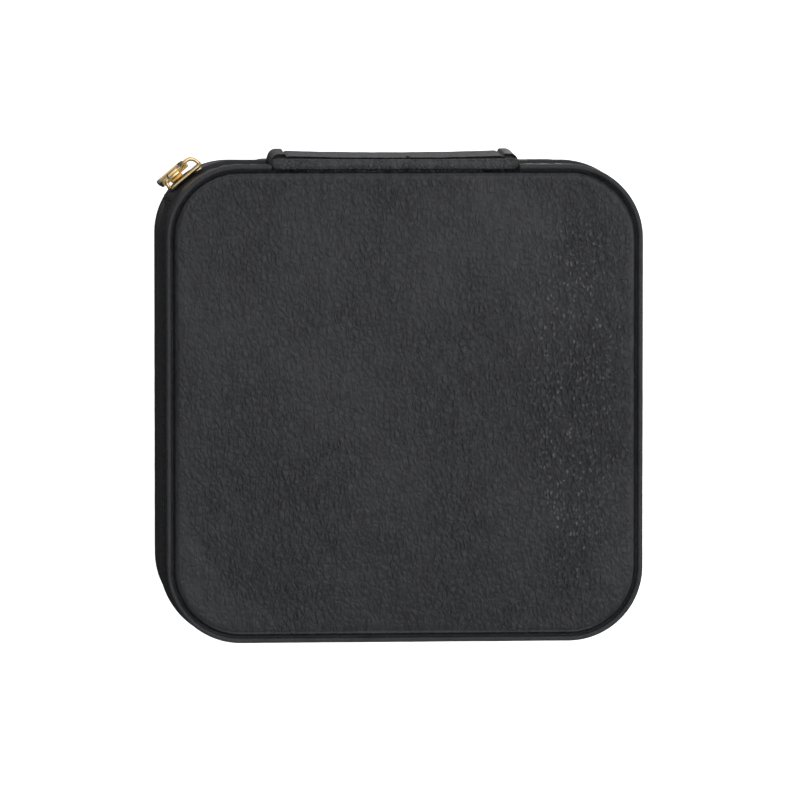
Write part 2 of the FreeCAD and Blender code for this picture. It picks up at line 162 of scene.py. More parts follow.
class Solid:
    """A mesh gathered tube by tube; place(*point), if given, moves a point into the case's axes."""

    def __init__(self, place=None):
        self.place = place
        self.points = []
        self.faces = []

    def tube(self, rings, looped=False):
        """One tube from its rings of points, closed into a loop or with a face over each end."""
        first = len(self.points)
        rows, columns = len(rings), len(rings[0])
        self.points += [self.place(*p) if self.place else p for ring in rings for p in ring]
        faces = grid_faces(rows, columns, looped, True)
        if not looped:
            faces.append(tuple(range(columns)))
            faces.append(tuple(reversed(range((rows - 1) * columns, rows * columns))))
        self.faces += [tuple(first + i for i in f) for f in faces]
        return self

    def piece(self, name, material):
        return mesh_piece(name, self.points, self.faces, material)


def rough(point, scale, seed=0.0):
    """Smooth noise in about -1..1 at a place in millimetres."""
    return noise.noise(Vector(point) / scale + Vector((seed, seed * 1.7, -seed)))


def turns(count):
    """Evenly spaced angles all the way round, in radians."""
    return [2 * math.pi * k / count for k in range(count)]


def squarish(angle, across, up):
    """Cosine and sine raised to these powers, which under 1 fill a circle out to a square."""
    c, s = math.cos(angle), math.sin(angle)
    return math.copysign(abs(c) ** across, c), math.copysign(abs(s) ** up, s)


def arc_points(centre, radius, start, end, count):
    """Points on an arc, angles in degrees."""
    angles = [math.radians(a) for a in np.linspace(start, end, count)]
    return [(centre[0] + radius * math.cos(a), centre[1] + radius * math.sin(a)) for a in angles]


def round_outline(corners, steps):
    """An outline from four corners, each (x, y, radius) of its arc, going round."""
    points = []
    for k, (x, y, radius) in enumerate(corners):
        points += arc_points((x, y), radius, 90 * k, 90 * k + 90, steps)
    return points


def headings(path):
    """The way a flat path runs at each of its points."""
    ends = [path[0], *path, path[-1]]
    return [Vector((b[0] - a[0], b[1] - a[1])).normalized() for a, b in zip(ends, ends[2:])]


# ---- the walk round the case ----
class Walk:
    """Places along the outline, measured along the leather's outer face, from one x on the back
    wall leftwards round the core square to another. A leg is its start, its first outward angle,
    how far that turns on the way, and its length."""

    def __init__(self, x_start=STRAP_X0, x_end=STRAP_X1):
        self.legs = [((x_start, CORE), 90, 0, x_start + CORE)]
        for k, (sx, sy) in enumerate(CORNERS[1:] + CORNERS[:1]):
            start = (sx * CORE, sy * CORE)
            self.legs.append((start, 90 * k + 90, 90, R_OUT * math.pi / 2))
            self.legs.append((start, 90 * k + 180, 0, 2 * CORE if k < 3 else CORE - x_end))
        self.length = sum(leg[-1] for leg in self.legs)

    def at(self, s):
        """The core point and outward direction at a distance along the walk."""
        for leg in self.legs:
            start, angle, turn, length = leg
            if s <= length or leg is self.legs[-1]:
                break
            s -= length
        angle = math.radians(angle + turn * s / length)
        out = Vector((math.cos(angle), math.sin(angle), 0))
        centre = Vector((*start, 0))
        return (centre if turn else centre + Vector((-out.y, out.x, 0)) * s), out

    def spot(self, s, offset, z):
        centre, out = self.at(s)
        return centre + out * offset + Vector((0, 0, z))

    def places(self, step, start=0.0, end=None):
        end = self.length if end is None else end
        count = max(2, round((end - start) / step) + 1)
        return np.linspace(start, end, count)


OPEN_WALK = Walk()              # from one end of the strap round to the other
CLOSED_WALK = Walk(0.0, 0.0)


def corner_walk(angle):
    """How far along the open walk this angle of the back left corner is, in degrees from +X."""
    return STRAP_X0 + CORE + math.radians(angle - 90) * R_OUT


def sweep(name, profile, material, walk=OPEN_WALK, step=0.8, closed=False, shape=None,
          start=0.0, end=None):
    """A closed section of (offset, height) points drawn along the walk.
    shape(s, k, offset, height) may move each point."""
    places = walk.places(step, start, end)
    rings = []
    for s in places[:-1] if closed else places:
        ring = []
        for k, (offset, z) in enumerate(profile):
            if shape:
                offset, z = shape(s, k, offset, z)
            ring.append(walk.spot(s, offset, z))
        rings.append(ring)
    return Solid().tube(rings, closed).piece(name, material)


# ---- materials ----
def rgba(r, g, b):
    return (r, g, b, 1.0)


class Nodes:
    """A short way to lay out the nodes of a material or of the world."""

    def __init__(self, owner):
        owner.use_nodes = True
        self.owner = owner
        self.tree = owner.node_tree

    def put(self, socket, value):
        """Another node's output is linked to the socket; a constant is set on it."""
        if isinstance(value, bpy.types.NodeSocket):
            self.tree.links.new(value, socket)
        else:
            socket.default_value = value

    def add(self, kind, settings=None, **inputs):
        """A node, with inputs by name (_ for a space) or, as i0, i1 and so on, by number."""
        node = self.tree.nodes.new("ShaderNode" + kind)
        for key, value in (settings or {}).items():
            setattr(node, key, value)
        for key, value in inputs.items():
            number = key[1:]
            self.put(node.inputs[int(number) if number.isdigit() else key.replace("_", " ")], value)
        return node

    def math(self, operation, *values):
        inputs = {"i%d" % k: v for k, v in enumerate(values)}
        return self.add("Math", {"operation": operation}, **inputs).outputs[0]

    def times(self, *values):
        product = values[0]
        for value in values[1:]:
            product = self.math("MULTIPLY", product, value)
        return product

    def distance(self, x, y):
        squares = [self.math("POWER", v, 2.0) for v in (x, y)]
        return self.math("SQRT", self.math("ADD", *squares))

    def ramp(self, value, low_in, high_in, low_out=0.0, high_out=1.0):
        settings = {"interpolation_type": "SMOOTHSTEP"}
        values = {"i0": value, "i1": low_in, "i2": high_in, "i3": low_out, "i4": high_out}
        return self.add("MapRange", settings, **values).outputs[0]

    def mix(self, factor, first, second):
        node = self.add("Mix", {"data_type": "RGBA"}, i0=factor, i6=first, i7=second)
        return node.outputs[2]

    def place(self, stretch=(1.0, 1.0, 1.0)):
        """The piece's own coordinates in millimetres, stretched along the axes."""
        coordinate = self.add("TexCoord").outputs["Object"]
        scale = [1 / MM / v for v in stretch]
        return self.add("Mapping", Vector=coordinate, Scale=scale).outputs[0]

    def noise(self, vector, scale, detail=2.0, roughness=0.5, distortion=0.0, output="Fac"):
        node = self.add("TexNoise", Vector=vector, Scale=scale, Detail=detail, Roughness=roughness,
                        Distortion=distortion)
        return node.outputs[output]

    def feed(self, **values):
        """Sets or links the shader's inputs, named with _ for a space."""
        for key, value in values.items():
            self.put(self.tree.nodes["Principled BSDF"].inputs[key.replace("_", " ")], value)

    def tint(self, tone, base):
        """The base colour times a tone."""
        self.feed(Base_Color=self.mix(tone, rgba(0, 0, 0), rgba(*base)))

    def bump(self, layers):
        """Layers of (height, depth in millimetres) feed the shader's normal."""
        normal = None
        for height, depth in layers:
            inputs = {"Height": height, "Distance": depth * MM, "Strength": 1.0}
            if normal is not None:
                inputs["Normal"] = normal
            normal = self.add("Bump", **inputs).outputs[0]
        self.feed(Normal=normal)


def new_paint(name):
    return Nodes(bpy.data.materials.new(name))


def warped(n, vector, scale, amount):
    """The vector, pushed about by noise, so that cells and lines lose their straight edges."""
    shift = n.noise(vector, scale, output="Color")
    centred = n.add("VectorMath", {"operation": "SUBTRACT"}, i0=shift, i1=(0.5, 0.5, 0.5)).outputs[0]
    scaled = n.add("VectorMath", {"operation": "SCALE"}, i0=centred, Scale=amount).outputs[0]
    return n.add("VectorMath", {"operation": "ADD"}, i0=vector, i1=scaled).outputs[0]


def cell_edges(n, vector, scale):
    return n.add("TexVoronoi", {"feature": "DISTANCE_TO_EDGE"}, Vector=vector, Scale=scale).outputs[0]


# Where the lid's grain stands up most and the painted glints go: the middle and half-axes of an ellipse.
PATCH_MIDDLE = (35.5, 1.0)
PATCH_HALF = (13.0, 52.0)


def lid_grain_depth(n):
    """Over the lid: the grain fades out towards the pulled rim, is a little weaker on the left and
    stands up more on the right. It also sets where the creases' painted shade shows and where the
    painted glints go."""
    x, y = n.add("SeparateXYZ", Vector=n.place()).outputs[:2]
    beyond = [n.math("MAXIMUM", n.math("SUBTRACT", n.math("ABSOLUTE", v), CORE), 0.0) for v in (x, y)]
    rim = PANEL_HALF - CORE
    inside = n.ramp(n.distance(*beyond), rim - 2.0, rim - 0.3, 1.0, 0.3)
    off = [n.math("DIVIDE", n.math("SUBTRACT", v, middle), half)
           for v, middle, half in zip((x, y), PATCH_MIDDLE, PATCH_HALF)]
    patch = n.ramp(n.distance(*off), 0.2, 1.1, 1.6, 1.0)
    left = n.ramp(x, -42.0, -8.0, 0.72, 1.0)
    return n.times(inside, patch, left)


def painted_glints(n, bead, strength):
    """Painted glints: a few pebbles, on the side where the grain stands up most, get a light spot painted on
    their tops.
    """
    top = n.math("POWER", n.ramp(bead.outputs["Distance"], 0.0, 0.62, 1.0, 0.0), 1.6)
    chosen = n.add("SeparateColor", Color=bead.outputs["Color"]).outputs[0]
    few = n.math("POWER", n.ramp(chosen, 0.15, 0.95), 1.5)
    where = n.ramp(strength, 0.95, 1.45)
    return n.times(top, few, where)


# Painted shade in the grain's creases: the share of its colour the grain keeps there.
CREASE_SHADE = 0.12      # how much of its colour the grain keeps in its creases
# Colour of the painted glints on a few pebble tops.
GLINT_PAINT = (0.16, 0.16, 0.162)


def grain_leather(name, cell, stretch, depth, base, roughness, patchy=True, mask=None):
    """Fine pebbled leather: soft small pebbles parted by hair creases, long wrinkles, and pores.
    mask(n), if given, is the grain's strength over the piece."""
    n = new_paint(name)
    place = n.place(stretch)
    bent = warped(n, place, 0.45, 0.9)
    bent = warped(n, bent, 1.7, 0.32)
    edge = cell_edges(n, bent, 1.0 / cell)
    bead = n.add("TexVoronoi", {"feature": "SMOOTH_F1"}, Vector=bent, Scale=1.55 / cell, Smoothness=0.35)
    pebble = n.ramp(edge, 0.0, 0.30)
    dome = n.ramp(bead.outputs["Distance"], 0.05, 0.75, 1.0, 0.0)
    drawn = n.place((stretch[0], stretch[1] * 2.4, stretch[2] * 2.4))
    streak = n.noise(drawn, 0.95, 3.0, 0.6, 0.4)
    wrinkle = streak
    pores = n.noise(place, 4.5, 3.0, 0.6)
    if patchy:
        region = n.ramp(n.noise(place, 0.055), 0.32, 0.64, 0.35, 1.0)
        if mask:
            strength = mask(n)
            region = n.times(region, strength)
            wrinkle = n.times(wrinkle, strength)
        pebble = n.times(pebble, region)
        dome = n.times(dome, region)
    n.bump([(pores, depth * 0.10), (wrinkle, depth * 0.7), (dome, depth * 0.6), (pebble, depth * 0.8)])
    # Painted shade in the creases: the colour is darkened there, broken up by noise, and on the lid only
    # where the grain stands up.
    broken = n.ramp(n.noise(place, 0.35), 0.40, 0.60, 0.30, 1.0)
    if mask:
        broken = n.math("MAXIMUM", broken, n.ramp(strength, 1.0, 1.4))
    crease_shade = n.ramp(edge, 0.0, 0.14, CREASE_SHADE, 1.0)
    crease_shade = n.math("SUBTRACT", 1.0, n.times(n.math("SUBTRACT", 1.0, crease_shade), broken))
    if mask:
        shown = n.math("MINIMUM", n.ramp(strength, 0.35, 0.95), region)
        crease_shade = n.math("ADD", n.times(crease_shade, shown), n.math("SUBTRACT", 1.0, shown))
    tone = n.ramp(n.noise(place, 0.04, 3.0), 0.25, 0.75, 0.45, 0.55)
    # Painted light and shade along the wrinkles: lighter colour on their ridges, darker in their hollows.
    tone = n.times(tone, n.ramp(streak, 0.30, 0.70, 0.62, 1.40))
    lit = [2.0 * value for value in base]
    colour = n.mix(n.times(crease_shade, tone), rgba(0, 0, 0), rgba(*lit))
    # Painted glints: a light spot painted on a few pebble tops of the lid.
    if mask:
        colour = n.mix(painted_glints(n, bead, strength), colour, rgba(*GLINT_PAINT))
    rub = n.noise(place, 1.1)
    n.feed(Base_Color=colour, Roughness=n.ramp(rub, 0.25, 0.75, roughness - 0.07, roughness + 0.09),
           Specular_IOR_Level=0.45, Coat_Weight=0.22, Coat_Roughness=0.2, Coat_IOR=1.45)
    return n.owner


def smooth_leather(name, base, roughness, depth=0.05):
    """Thin edge leather, pulled tight: fine pores and faint, shallow cells."""
    n = new_paint(name)
    place = n.place()
    cells = cell_edges(n, warped(n, place, 1.5, 0.3), 1.9)
    pebble = n.ramp(cells, 0.0, 0.22)
    fine = n.noise(place, 3.2, 4.0, 0.65)
    n.bump([(fine, depth * 0.7), (pebble, depth)])
    tone = n.ramp(n.noise(place, 0.22, 3.0), 0.3, 0.7, 0.8, 1.25)
    # Painted shade: the colour is darkened along the edges of the shallow cells, where they crease.
    n.tint(n.times(tone, n.ramp(cells, 0.0, 0.10, 0.7, 1.0)), base)
    n.feed(Roughness=n.ramp(fine, 0.2, 0.8, roughness - 0.06, roughness + 0.1), Specular_IOR_Level=0.5)
    return n.owner


def suede(name, base, depth=0.06):
    """A short nap, brushed in broad strokes."""
    n = new_paint(name)
    nap = n.noise(n.place(), 6.0, 4.0, 0.7)
    strokes = n.noise(n.place((1.0, 3.0, 1.0)), 0.12)
    n.bump([(nap, depth)])
    n.tint(n.times(n.ramp(nap, 0.3, 0.7, 0.8, 1.15), n.ramp(strokes, 0.35, 0.65, 0.88, 1.1)), base)
    n.feed(Roughness=n.ramp(nap, 0.2, 0.8, 0.85, 1.0), Specular_IOR_Level=0.15, Sheen_Weight=0.35,
           Sheen_Roughness=0.4)
    return n.owner


def woven(name, base, per_mm, depth, roughness=0.8):
    """A tight weave of crossing threads."""
    n = new_paint(name)
    place = n.place()
    along, up, across = [
        n.add("TexWave", {"bands_direction": axis}, Vector=place, Scale=per_mm, Distortion=0.6,
              Detail=1.0).outputs["Fac"]
        for axis in "XZY"
    ]
    weave = n.times(n.math("MULTIPLY_ADD", along, 0.5, across), up)
    fuzz = n.noise(place, 5.0, 3.0)
    n.bump([(fuzz, depth * 0.5), (weave, depth)])
    # Painted shade: the colour is darker where the weave dips between its threads.
    n.tint(n.ramp(weave, 0.0, 1.2, 0.6, 1.2), base)
    n.feed(Roughness=n.ramp(fuzz, 0.2, 0.8, roughness - 0.08, roughness + 0.1), Specular_IOR_Level=0.3)
    return n.owner


def nylon(name, base):
    n = new_paint(name)
    speck = n.noise(n.place(), 2.5, 3.0)
    n.bump([(speck, 0.02)])
    n.tint(n.ramp(speck, 0.3, 0.7, 0.8, 1.2), base)
    n.feed(Roughness=n.ramp(speck, 0.2, 0.8, 0.24, 0.4))
    return n.owner


def thread(name, base):
    n = new_paint(name)
    twist = n.add("TexWave", {"bands_direction": "DIAGONAL"}, Vector=n.place(), Scale=2.4,
                  Distortion=0.3).outputs["Fac"]
    n.bump([(twist, 0.05)])
    # Painted shade: the colour is darker in the grooves of the twist.
    n.tint(n.ramp(twist, 0.0, 1.0, 0.6, 1.2), base)
    n.feed(Roughness=n.ramp(twist, 0.0, 1.0, 0.65, 0.5))
    return n.owner


def gold(name):
    """Plated zinc: a warm polish with faint casting ripple and rubbed spots."""
    n = new_paint(name)
    ripple = n.noise(n.place(), 0.8)
    scratch = n.noise(n.place((0.25, 3.0, 3.0)), 4.0)
    n.bump([(ripple, 0.03), (scratch, 0.006)])
    n.feed(Base_Color=n.mix(n.ramp(ripple, 0.35, 0.7), rgba(0.93, 0.66, 0.30), rgba(0.98, 0.80, 0.48)),
           Metallic=1.0, Roughness=n.ramp(scratch, 0.3, 0.75, 0.13, 0.26))
    return n.owner


def greyboard(name):
    n = new_paint(name)
    fibre = n.noise(n.place((3.0, 1.0, 1.0)), 1.4, 4.0, 0.7)
    n.bump([(fibre, 0.06)])
    n.feed(Base_Color=n.mix(n.ramp(fibre, 0.3, 0.7), rgba(0.30, 0.28, 0.25), rgba(0.46, 0.44, 0.40)),
           Roughness=n.ramp(n.noise(n.place(), 0.8), 0.3, 0.7, 0.85, 0.95))
    return n.owner


def foam(name):
    n = new_paint(name)
    cells = n.add("TexVoronoi", Vector=n.place(), Scale=2.2).outputs["Distance"]
    n.bump([(cells, 0.15)])
    # Painted shade: the colour is darker in the pits at the cells' middles.
    n.feed(Base_Color=n.mix(n.ramp(cells, 0.0, 0.7), rgba(0.62, 0.60, 0.55), rgba(0.84, 0.83, 0.80)),
           Roughness=n.ramp(cells, 0.0, 0.7, 0.8, 0.95))
    return n.owner


def silvered_glass(name):
    n = new_paint(name)
    smear = n.noise(n.place((2.0, 1.0, 1.0)), 0.09, 4.0, 0.65)
    n.feed(Base_Color=n.mix(smear, rgba(0.86, 0.88, 0.89), rgba(0.92, 0.93, 0.94)), Metallic=1.0,
           Roughness=n.ramp(smear, 0.35, 0.75, 0.01, 0.06))
    return n.owner


BLACK = (0.0215, 0.0218, 0.0236)
LID_GRAIN = grain_leather(
    "lid_grain_leather", cell=1.08, stretch=(1.0, 1.55, 1.0), depth=0.27, base=BLACK, roughness=0.42,
    mask=lid_grain_depth)
SIDE_GRAIN = grain_leather(
    "side_grain_leather", cell=1.25, stretch=(1.2, 1.2, 1.6), depth=0.20, base=BLACK, roughness=0.43)
TRIM = smooth_leather("trim_leather", (0.042, 0.043, 0.045), 0.37)
STRAP_GRAIN = grain_leather(
    "strap_grain_leather", cell=0.8, stretch=(1.0, 1.0, 1.2), depth=0.13, base=(0.056, 0.0565, 0.057),
    roughness=0.52, patchy=False)
SUEDE = suede("suede_lining", (0.185, 0.176, 0.172))
TAPE = woven("zip_tape_weave", (0.045, 0.044, 0.043), 0.55, 0.06)
NYLON = nylon("zip_nylon", (0.014, 0.014, 0.016))
THREAD = thread("thread", (0.020, 0.020, 0.022))
GOLD = gold("gold_plate")
BOARD = greyboard("greyboard")
FOAM = foam("foam_sheet")
MIRROR = silvered_glass("silvered_glass")
CLOTH = woven("pocket_cloth", (0.085, 0.082, 0.083), 0.9, 0.03, 0.75)
WELD_GAP = 1e-6         # metres


def repaint(node, material, bevel=0.0, segments=2):
    """A CAD node keeps its shape, gets this material, and soft edges if bevel is set."""
    piece = NODES[node]
    piece.data.materials.clear()
    piece.data.materials.append(material)
    for polygon in piece.data.polygons:
        polygon.material_index = 0
    if bevel:
        weld = piece.modifiers.new("weld", "WELD")
        weld.merge_threshold = WELD_GAP
        soft = piece.modifiers.new("soft_edges", "BEVEL")
        soft.width = bevel * MM
        soft.segments = segments
        soft.limit_method = "ANGLE"
        soft.angle_limit = math.radians(32)
        soft.harden_normals = True
    return piece


# ---- padded panels of lid and base ----
PANEL_STRAIGHT = 72     # points along each straight side of a panel
PANEL_ARC = 20          # points round each of its corners
PANEL_ROUND = 6.0       # the corners keep the case's rounding this far in from the rim


def panel_outline(half):
    """One ring of a panel: round corners near the rim, fading to square towards the middle."""
    inner = PANEL_HALF - PANEL_ROUND
    radius = half - CORE if half > inner else half * (inner - CORE) / inner
    reach = half - radius
    points = []
    for k, (sx, sy) in enumerate(CORNERS):
        arc = arc_points((sx * reach, sy * reach), radius, 90 * k, 90 * k + 90, PANEL_ARC + 1)
        points += arc[:-1]
        first = Vector(arc[-1])
        last = first + Vector(CORNERS[(k + 1) % 4]) * reach - Vector((sx, sy)) * reach
        points += [tuple(first.lerp(last, j / PANEL_STRAIGHT)) for j in range(PANEL_STRAIGHT)]
    return points


def panel(name, material, sections):
    """A panel from rings of (half-width, height function), centre first, underside last."""
    rings = [[(x, y, height(x, y)) for x, y in panel_outline(half)] for half, height in sections]
    count = len(rings[0])
    points = [p for ring in rings for p in ring]
    faces = grid_faces(len(rings), count, False, True)
    for ring_index in (0, len(rings) - 1):
        middle = len(points)
        z = sum(p[2] for p in rings[ring_index]) / count
        points.append((0, 0, z))
        first = ring_index * count
        faces += [(first + k, first + (k + 1) % count, middle) for k in range(count)]
    return mesh_piece(name, points, faces, material)


def rolled_rim(surface, width, drop, steps):
    """Rings of a rim that rolls down from its surface through a quarter turn."""
    rings = []
    for q in np.sin(np.linspace(0.0, math.pi / 2, steps))[1:]:
        fall = drop * (1 - math.sqrt(max(0.0, 1 - q * q)))
        rings.append((PANEL_HALF - width * (1 - q), lambda x, y, d=fall: surface(x, y) - d))
    return rings


LID_CROWN = 1.35        # how far the foam lifts the middle of the lid above its rim
LID_CROWN_UP = 0.58     # the share of that above the CAD lid's flat top
LID_CROWN_POWER = 2.6   # higher keeps the crown flatter and its fall nearer the rim
LID_ROLL_W = 1.15       # the rolled rims: width and drop
LID_ROLL_H = 0.85
BASE_ROLL_W = 0.9
BASE_ROLL_H = 0.6
PANEL_CENTRE = 0.8      # half-width of a panel's innermost ring


def lid_surface(x, y):
    """Height of the padded lid, before its rim rolls down."""
    fall = (abs(x) ** LID_CROWN_POWER + abs(y) ** LID_CROWN_POWER) / PANEL_HALF ** LID_CROWN_POWER
    puff = 0.10 * rough((x, y, 0), 14.0) + 0.05 * rough((x, y, 5), 5.0)
    return HEIGHT + LID_CROWN * (LID_CROWN_UP - min(1.0, fall)) + puff - 0.05


def lid_panel():
    under = BOARD_TOP + 0.02
    rings = [(h, lid_surface) for h in np.linspace(PANEL_CENTRE, PANEL_HALF - LID_ROLL_W, 60)]
    rings += rolled_rim(lid_surface, LID_ROLL_W, LID_ROLL_H, 12)
    rings.append((PANEL_HALF, lambda x, y: under))
    rings.append((PANEL_HALF - LEATHER, lambda x, y: under))
    rings.append((PANEL_HALF - LEATHER, lambda x, y: HEIGHT - LEATHER))
    piece = panel("lid_panel", LID_GRAIN, rings)
    return fit(piece, "lid", "black_leather", "lid_panel_leather")


def base_panel():
    def bottom(x, y):
        return 0.0

    rings = [(h, bottom) for h in np.linspace(PANEL_CENTRE, PANEL_HALF - BASE_ROLL_W, 30)]
    rings += rolled_rim(bottom, BASE_ROLL_W, -BASE_ROLL_H, 7)
    rings.append((PANEL_HALF, lambda x, y: LEATHER))
    piece = panel("base_panel", SIDE_GRAIN, rings)
    return fit(piece, "base", "black_leather", "base_panel_leather")


# ---- walls ----
EDGE_FOLD_R = 0.62      # the leather's edge, turned in at the zip
STITCH_INSET = 2.1
STITCH_PITCH = 3.1
STITCH_LENGTH = 2.3
STITCH_R = 0.27
# A stitch from end to end: how far along, in half lengths, and how thick.
STITCH_SHAPE = ((-1.0, 0.35), (-0.82, 0.8), (-0.45, 1.0), (0.0, 1.05), (0.45, 1.0), (0.82, 0.8), (1.0, 0.35))
# The leather's dent along the stitches: how far past them, and how far out it stands.
STITCH_DENT = ((-1.1, 0.02), (-0.45, -0.02), (0.0, -0.14), (0.45, -0.02), (1.1, 0.0))


def wall_section(edge_z, pipe_z):
    """Side leather from its turned edge at the zip to the piping, as (offset, height)."""
    way = 1 if pipe_z > edge_z else -1
    fold = EDGE_FOLD_R
    end_z = pipe_z - way * (PIPE_R + 0.06)
    points = [(R_OUT - 2 * fold + 0.1, edge_z + way * fold)]
    points += [(x, edge_z + way * (fold + y)) for x, y in arc_points((R_OUT - fold, 0), fold, -90, 0, 6)]
    stitch = edge_z + way * STITCH_INSET
    points += [(R_OUT + stand, stitch + way * past) for past, stand in STITCH_DENT]
    plain_z = stitch + way * STITCH_DENT[-1][0]
    points += [(R_OUT, plain_z + (end_z - plain_z) * share) for share in np.linspace(0.15, 0.92, 9)]
    points += [(R_OUT - 0.10, end_z - way * 0.25), (R_OUT - 0.35, end_z), (R_OUT - LEATHER, end_z)]
    points.append((R_OUT - LEATHER, edge_z + way * (2 * fold + 0.4)))
    return points


def wall(name, edge_z, pipe_z, body, node):
    def shape(s, k, offset, z):
        spot = OPEN_WALK.spot(s, offset, z)
        return offset + 0.06 * rough(spot, 9.0, 2.0) + 0.03 * rough(spot, 3.0, 4.0), z

    piece = sweep(name, wall_section(edge_z, pipe_z), SIDE_GRAIN, shape=shape)
    return fit(piece, body, "black_leather", node)


def stitches(name, z, body):
    """A row of thread stitches, each a short sunk capsule lying along the wall."""
    solid = Solid()
    count = int(OPEN_WALK.length / STITCH_PITCH)
    for index in range(count):
        rings = []
        for along, width in STITCH_SHAPE:
            s = (index + 0.5) * OPEN_WALK.length / count + along * STITCH_LENGTH / 2
            s = max(0.0, min(OPEN_WALK.length, s))
            stand = R_OUT - 0.02 - 0.30 * along * along
            r = STITCH_R * width
            rings.append([OPEN_WALK.spot(s, stand + r * math.cos(a), z + r * math.sin(a)) for a in turns(8)])
        solid.tube(rings)
    return fit(solid.piece(name, THREAD), body, "trim_leather")


def piping(name, z, body, node):
    """The rolled bead on its flat welt: slightly uneven, puckered on the corners."""
    up = 1 if z > ZIP_Z else -1
    welt_in = PANEL_HALF - CORE - 0.1
    welt_z = BOARD_TOP if up > 0 else BASE_PIPE_Z + LID_PIPE_Z - BOARD_TOP
    bead = arc_points((0, 0), PIPE_R, -70, 205, 15)
    section = [(PIPE_OFF + x, z + up * y) for x, y in bead]
    section += [
        (PIPE_OFF - PIPE_R - 0.08, welt_z + up * (WELT + 0.02)),
        (welt_in, welt_z + up * WELT),
        (welt_in, welt_z + up * 0.01),
        (PIPE_OFF, welt_z + up * 0.01),
    ]

    def shape(s, k, offset, height):
        if k >= len(bead):
            return offset, height
        spot = OPEN_WALK.spot(s, offset, z)
        grow = 1.0 + 0.035 * rough(spot, 2.2, 7.0) + 0.03 * rough(spot, 9.0, 3.0)
        return PIPE_OFF + (offset - PIPE_OFF) * grow, z + (height - z) * grow

    piece = sweep(name, section, TRIM, shape=shape, step=0.5)
    return fit(piece, body, "trim_leather", node)


# ---- hinge strap ----
STRAP_RAMP = 1.7        # width of the round outer slope of its raised ends
STRAP_END_W = 3.2
STRAP_END_RISE = 0.55
STRAP_FOOT = 1.4        # how far under the field's level that slope starts
STRAP_LIP = 1.3         # how far its turned edge stands out from the wall
STRAP_LIP_ROUND = 2.4   # width of the turned edge's rounded ends
# A small nick in the field's upper edge.
STRAP_NICK_X = 0.9
STRAP_NICK_Z = 44.0
STRAP_NICK_W = 0.36
STRAP_NICK_H = 3.2
# How far the strap's field stands off the wall, up its height, and its ends' share of their rise.
STRAP_HEIGHTS = (4.0, 12.0, 22.0, 25.0, 28.0, 30.0, 31.5, 33.5, 35.5, 38.0, 41.0, 44.0, 47.0)
STRAP_STANDS = (0.35, 0.35, 0.38, 0.50, 0.95, 1.50, 2.05, 2.60, 2.68, 2.45, 2.20, 1.98, 1.80)
STRAP_SHARES = (0.15, 0.15, 0.2, 0.35, 0.6, 0.8, 0.95, 1.0, 1.0, 1.0, 1.0, 1.0, 1.0)

# Over the lid's bead: past the groove's outer face, above the bead's top.
STRAP_OVER = ((0.0, -0.60), (0.10, -0.20), (0.34, -0.02), (0.80, 0.06), (1.30, 0.05))
# The lip with the slot under it, then the field's first points: past the lip's edge, above the
# bead's top, share of the ends' rise.
STRAP_LIP_SHAPE = (
    (-0.42, -0.02, 0.1), (-0.16, -0.20, 0.2), (-0.02, -0.50, 0.3), (-0.10, -0.90, 0.3), (-0.22, -1.60, 0.3),
    (-0.20, -2.50, 0.5), (0.05, -2.95, 0.8), (0.22, -2.60, 1.0), (0.30, -2.15, 1.0), (0.42, -1.98, 1.0),
)
# Its foot, turned in under the case.
STRAP_FOOT_SHAPE = ((0.0, 2.0, STRAP_SHARES[0]), (-0.05, 1.0, 0.1), (-0.25, 0.35, 0.0), (-0.60, 0.05, 0.0))


def strap_section():
    """The strap's outer face between its ends, from the lid's groove down to the bottom one.
    Each point is (y, z, how much of the ends' extra height it takes)."""
    top = LID_PIPE_Z + PIPE_R
    inner_y = CORE + PIPE_OFF - PIPE_R
    lip_y = HALF + STRAP_LIP
    section = [(PANEL_HALF - 0.1, BOARD_TOP + 0.02, 0.0), (PANEL_HALF + 0.1, BOARD_TOP + 0.12, 0.0),
               (inner_y - 0.04, BOARD_TOP + 0.24, 0.0)]
    section += [(inner_y + y, top + z, 0.0) for y, z in STRAP_OVER]
    section += [(lip_y + y, top + z, share) for y, z, share in STRAP_LIP_SHAPE]
    foot_z = LID_PIPE_Z + BASE_PIPE_Z - top
    zs = np.linspace(top - 2.3, foot_z + 2.6, 96)
    ys = [HALF + float(y) for y in np.interp(zs, STRAP_HEIGHTS, STRAP_STANDS)]
    for _ in range(4):
        ys = [ys[0]] + [(ys[i - 1] + ys[i] + ys[i + 1]) / 3 for i in range(1, len(ys) - 1)] + [ys[-1]]
    shares = np.interp(zs, STRAP_HEIGHTS, STRAP_SHARES)
    section += [(y, z, float(share)) for y, z, share in zip(ys, zs, shares)]
    foot_y = HALF + STRAP_STANDS[0]
    section += [(foot_y + y, foot_z + z, share) for y, z, share in STRAP_FOOT_SHAPE]
    section += [(inner_y + y, foot_z + z, 0.0) for y, z in ((0.34, 0.02), (0.05, 0.30), (0.0, 1.0))]
    return section


def strap_rise(x):
    """Extra height over the field at a place along the strap, from its rounded, raised ends."""
    from_end = min(x - STRAP_X0, STRAP_X1 - x)
    if from_end < STRAP_RAMP:
        q = 1 - from_end / STRAP_RAMP
        return (STRAP_END_RISE + STRAP_FOOT) * math.sqrt(max(0.0, 1 - q * q)) - STRAP_FOOT
    inside = min(1.0, max(0.0, (from_end - STRAP_END_W + 0.35) / 0.6))
    blend = inside * inside * (3 - 2 * inside)
    along = (2 * x - STRAP_X0 - STRAP_X1) / (STRAP_X1 - STRAP_X0)
    sag = 0.5 * along ** 2 - 0.25
    notch = -0.34 * math.exp(-((from_end - STRAP_END_W - 0.1) / 0.26) ** 2)
    return STRAP_END_RISE * (1 - blend) + sag * blend + notch


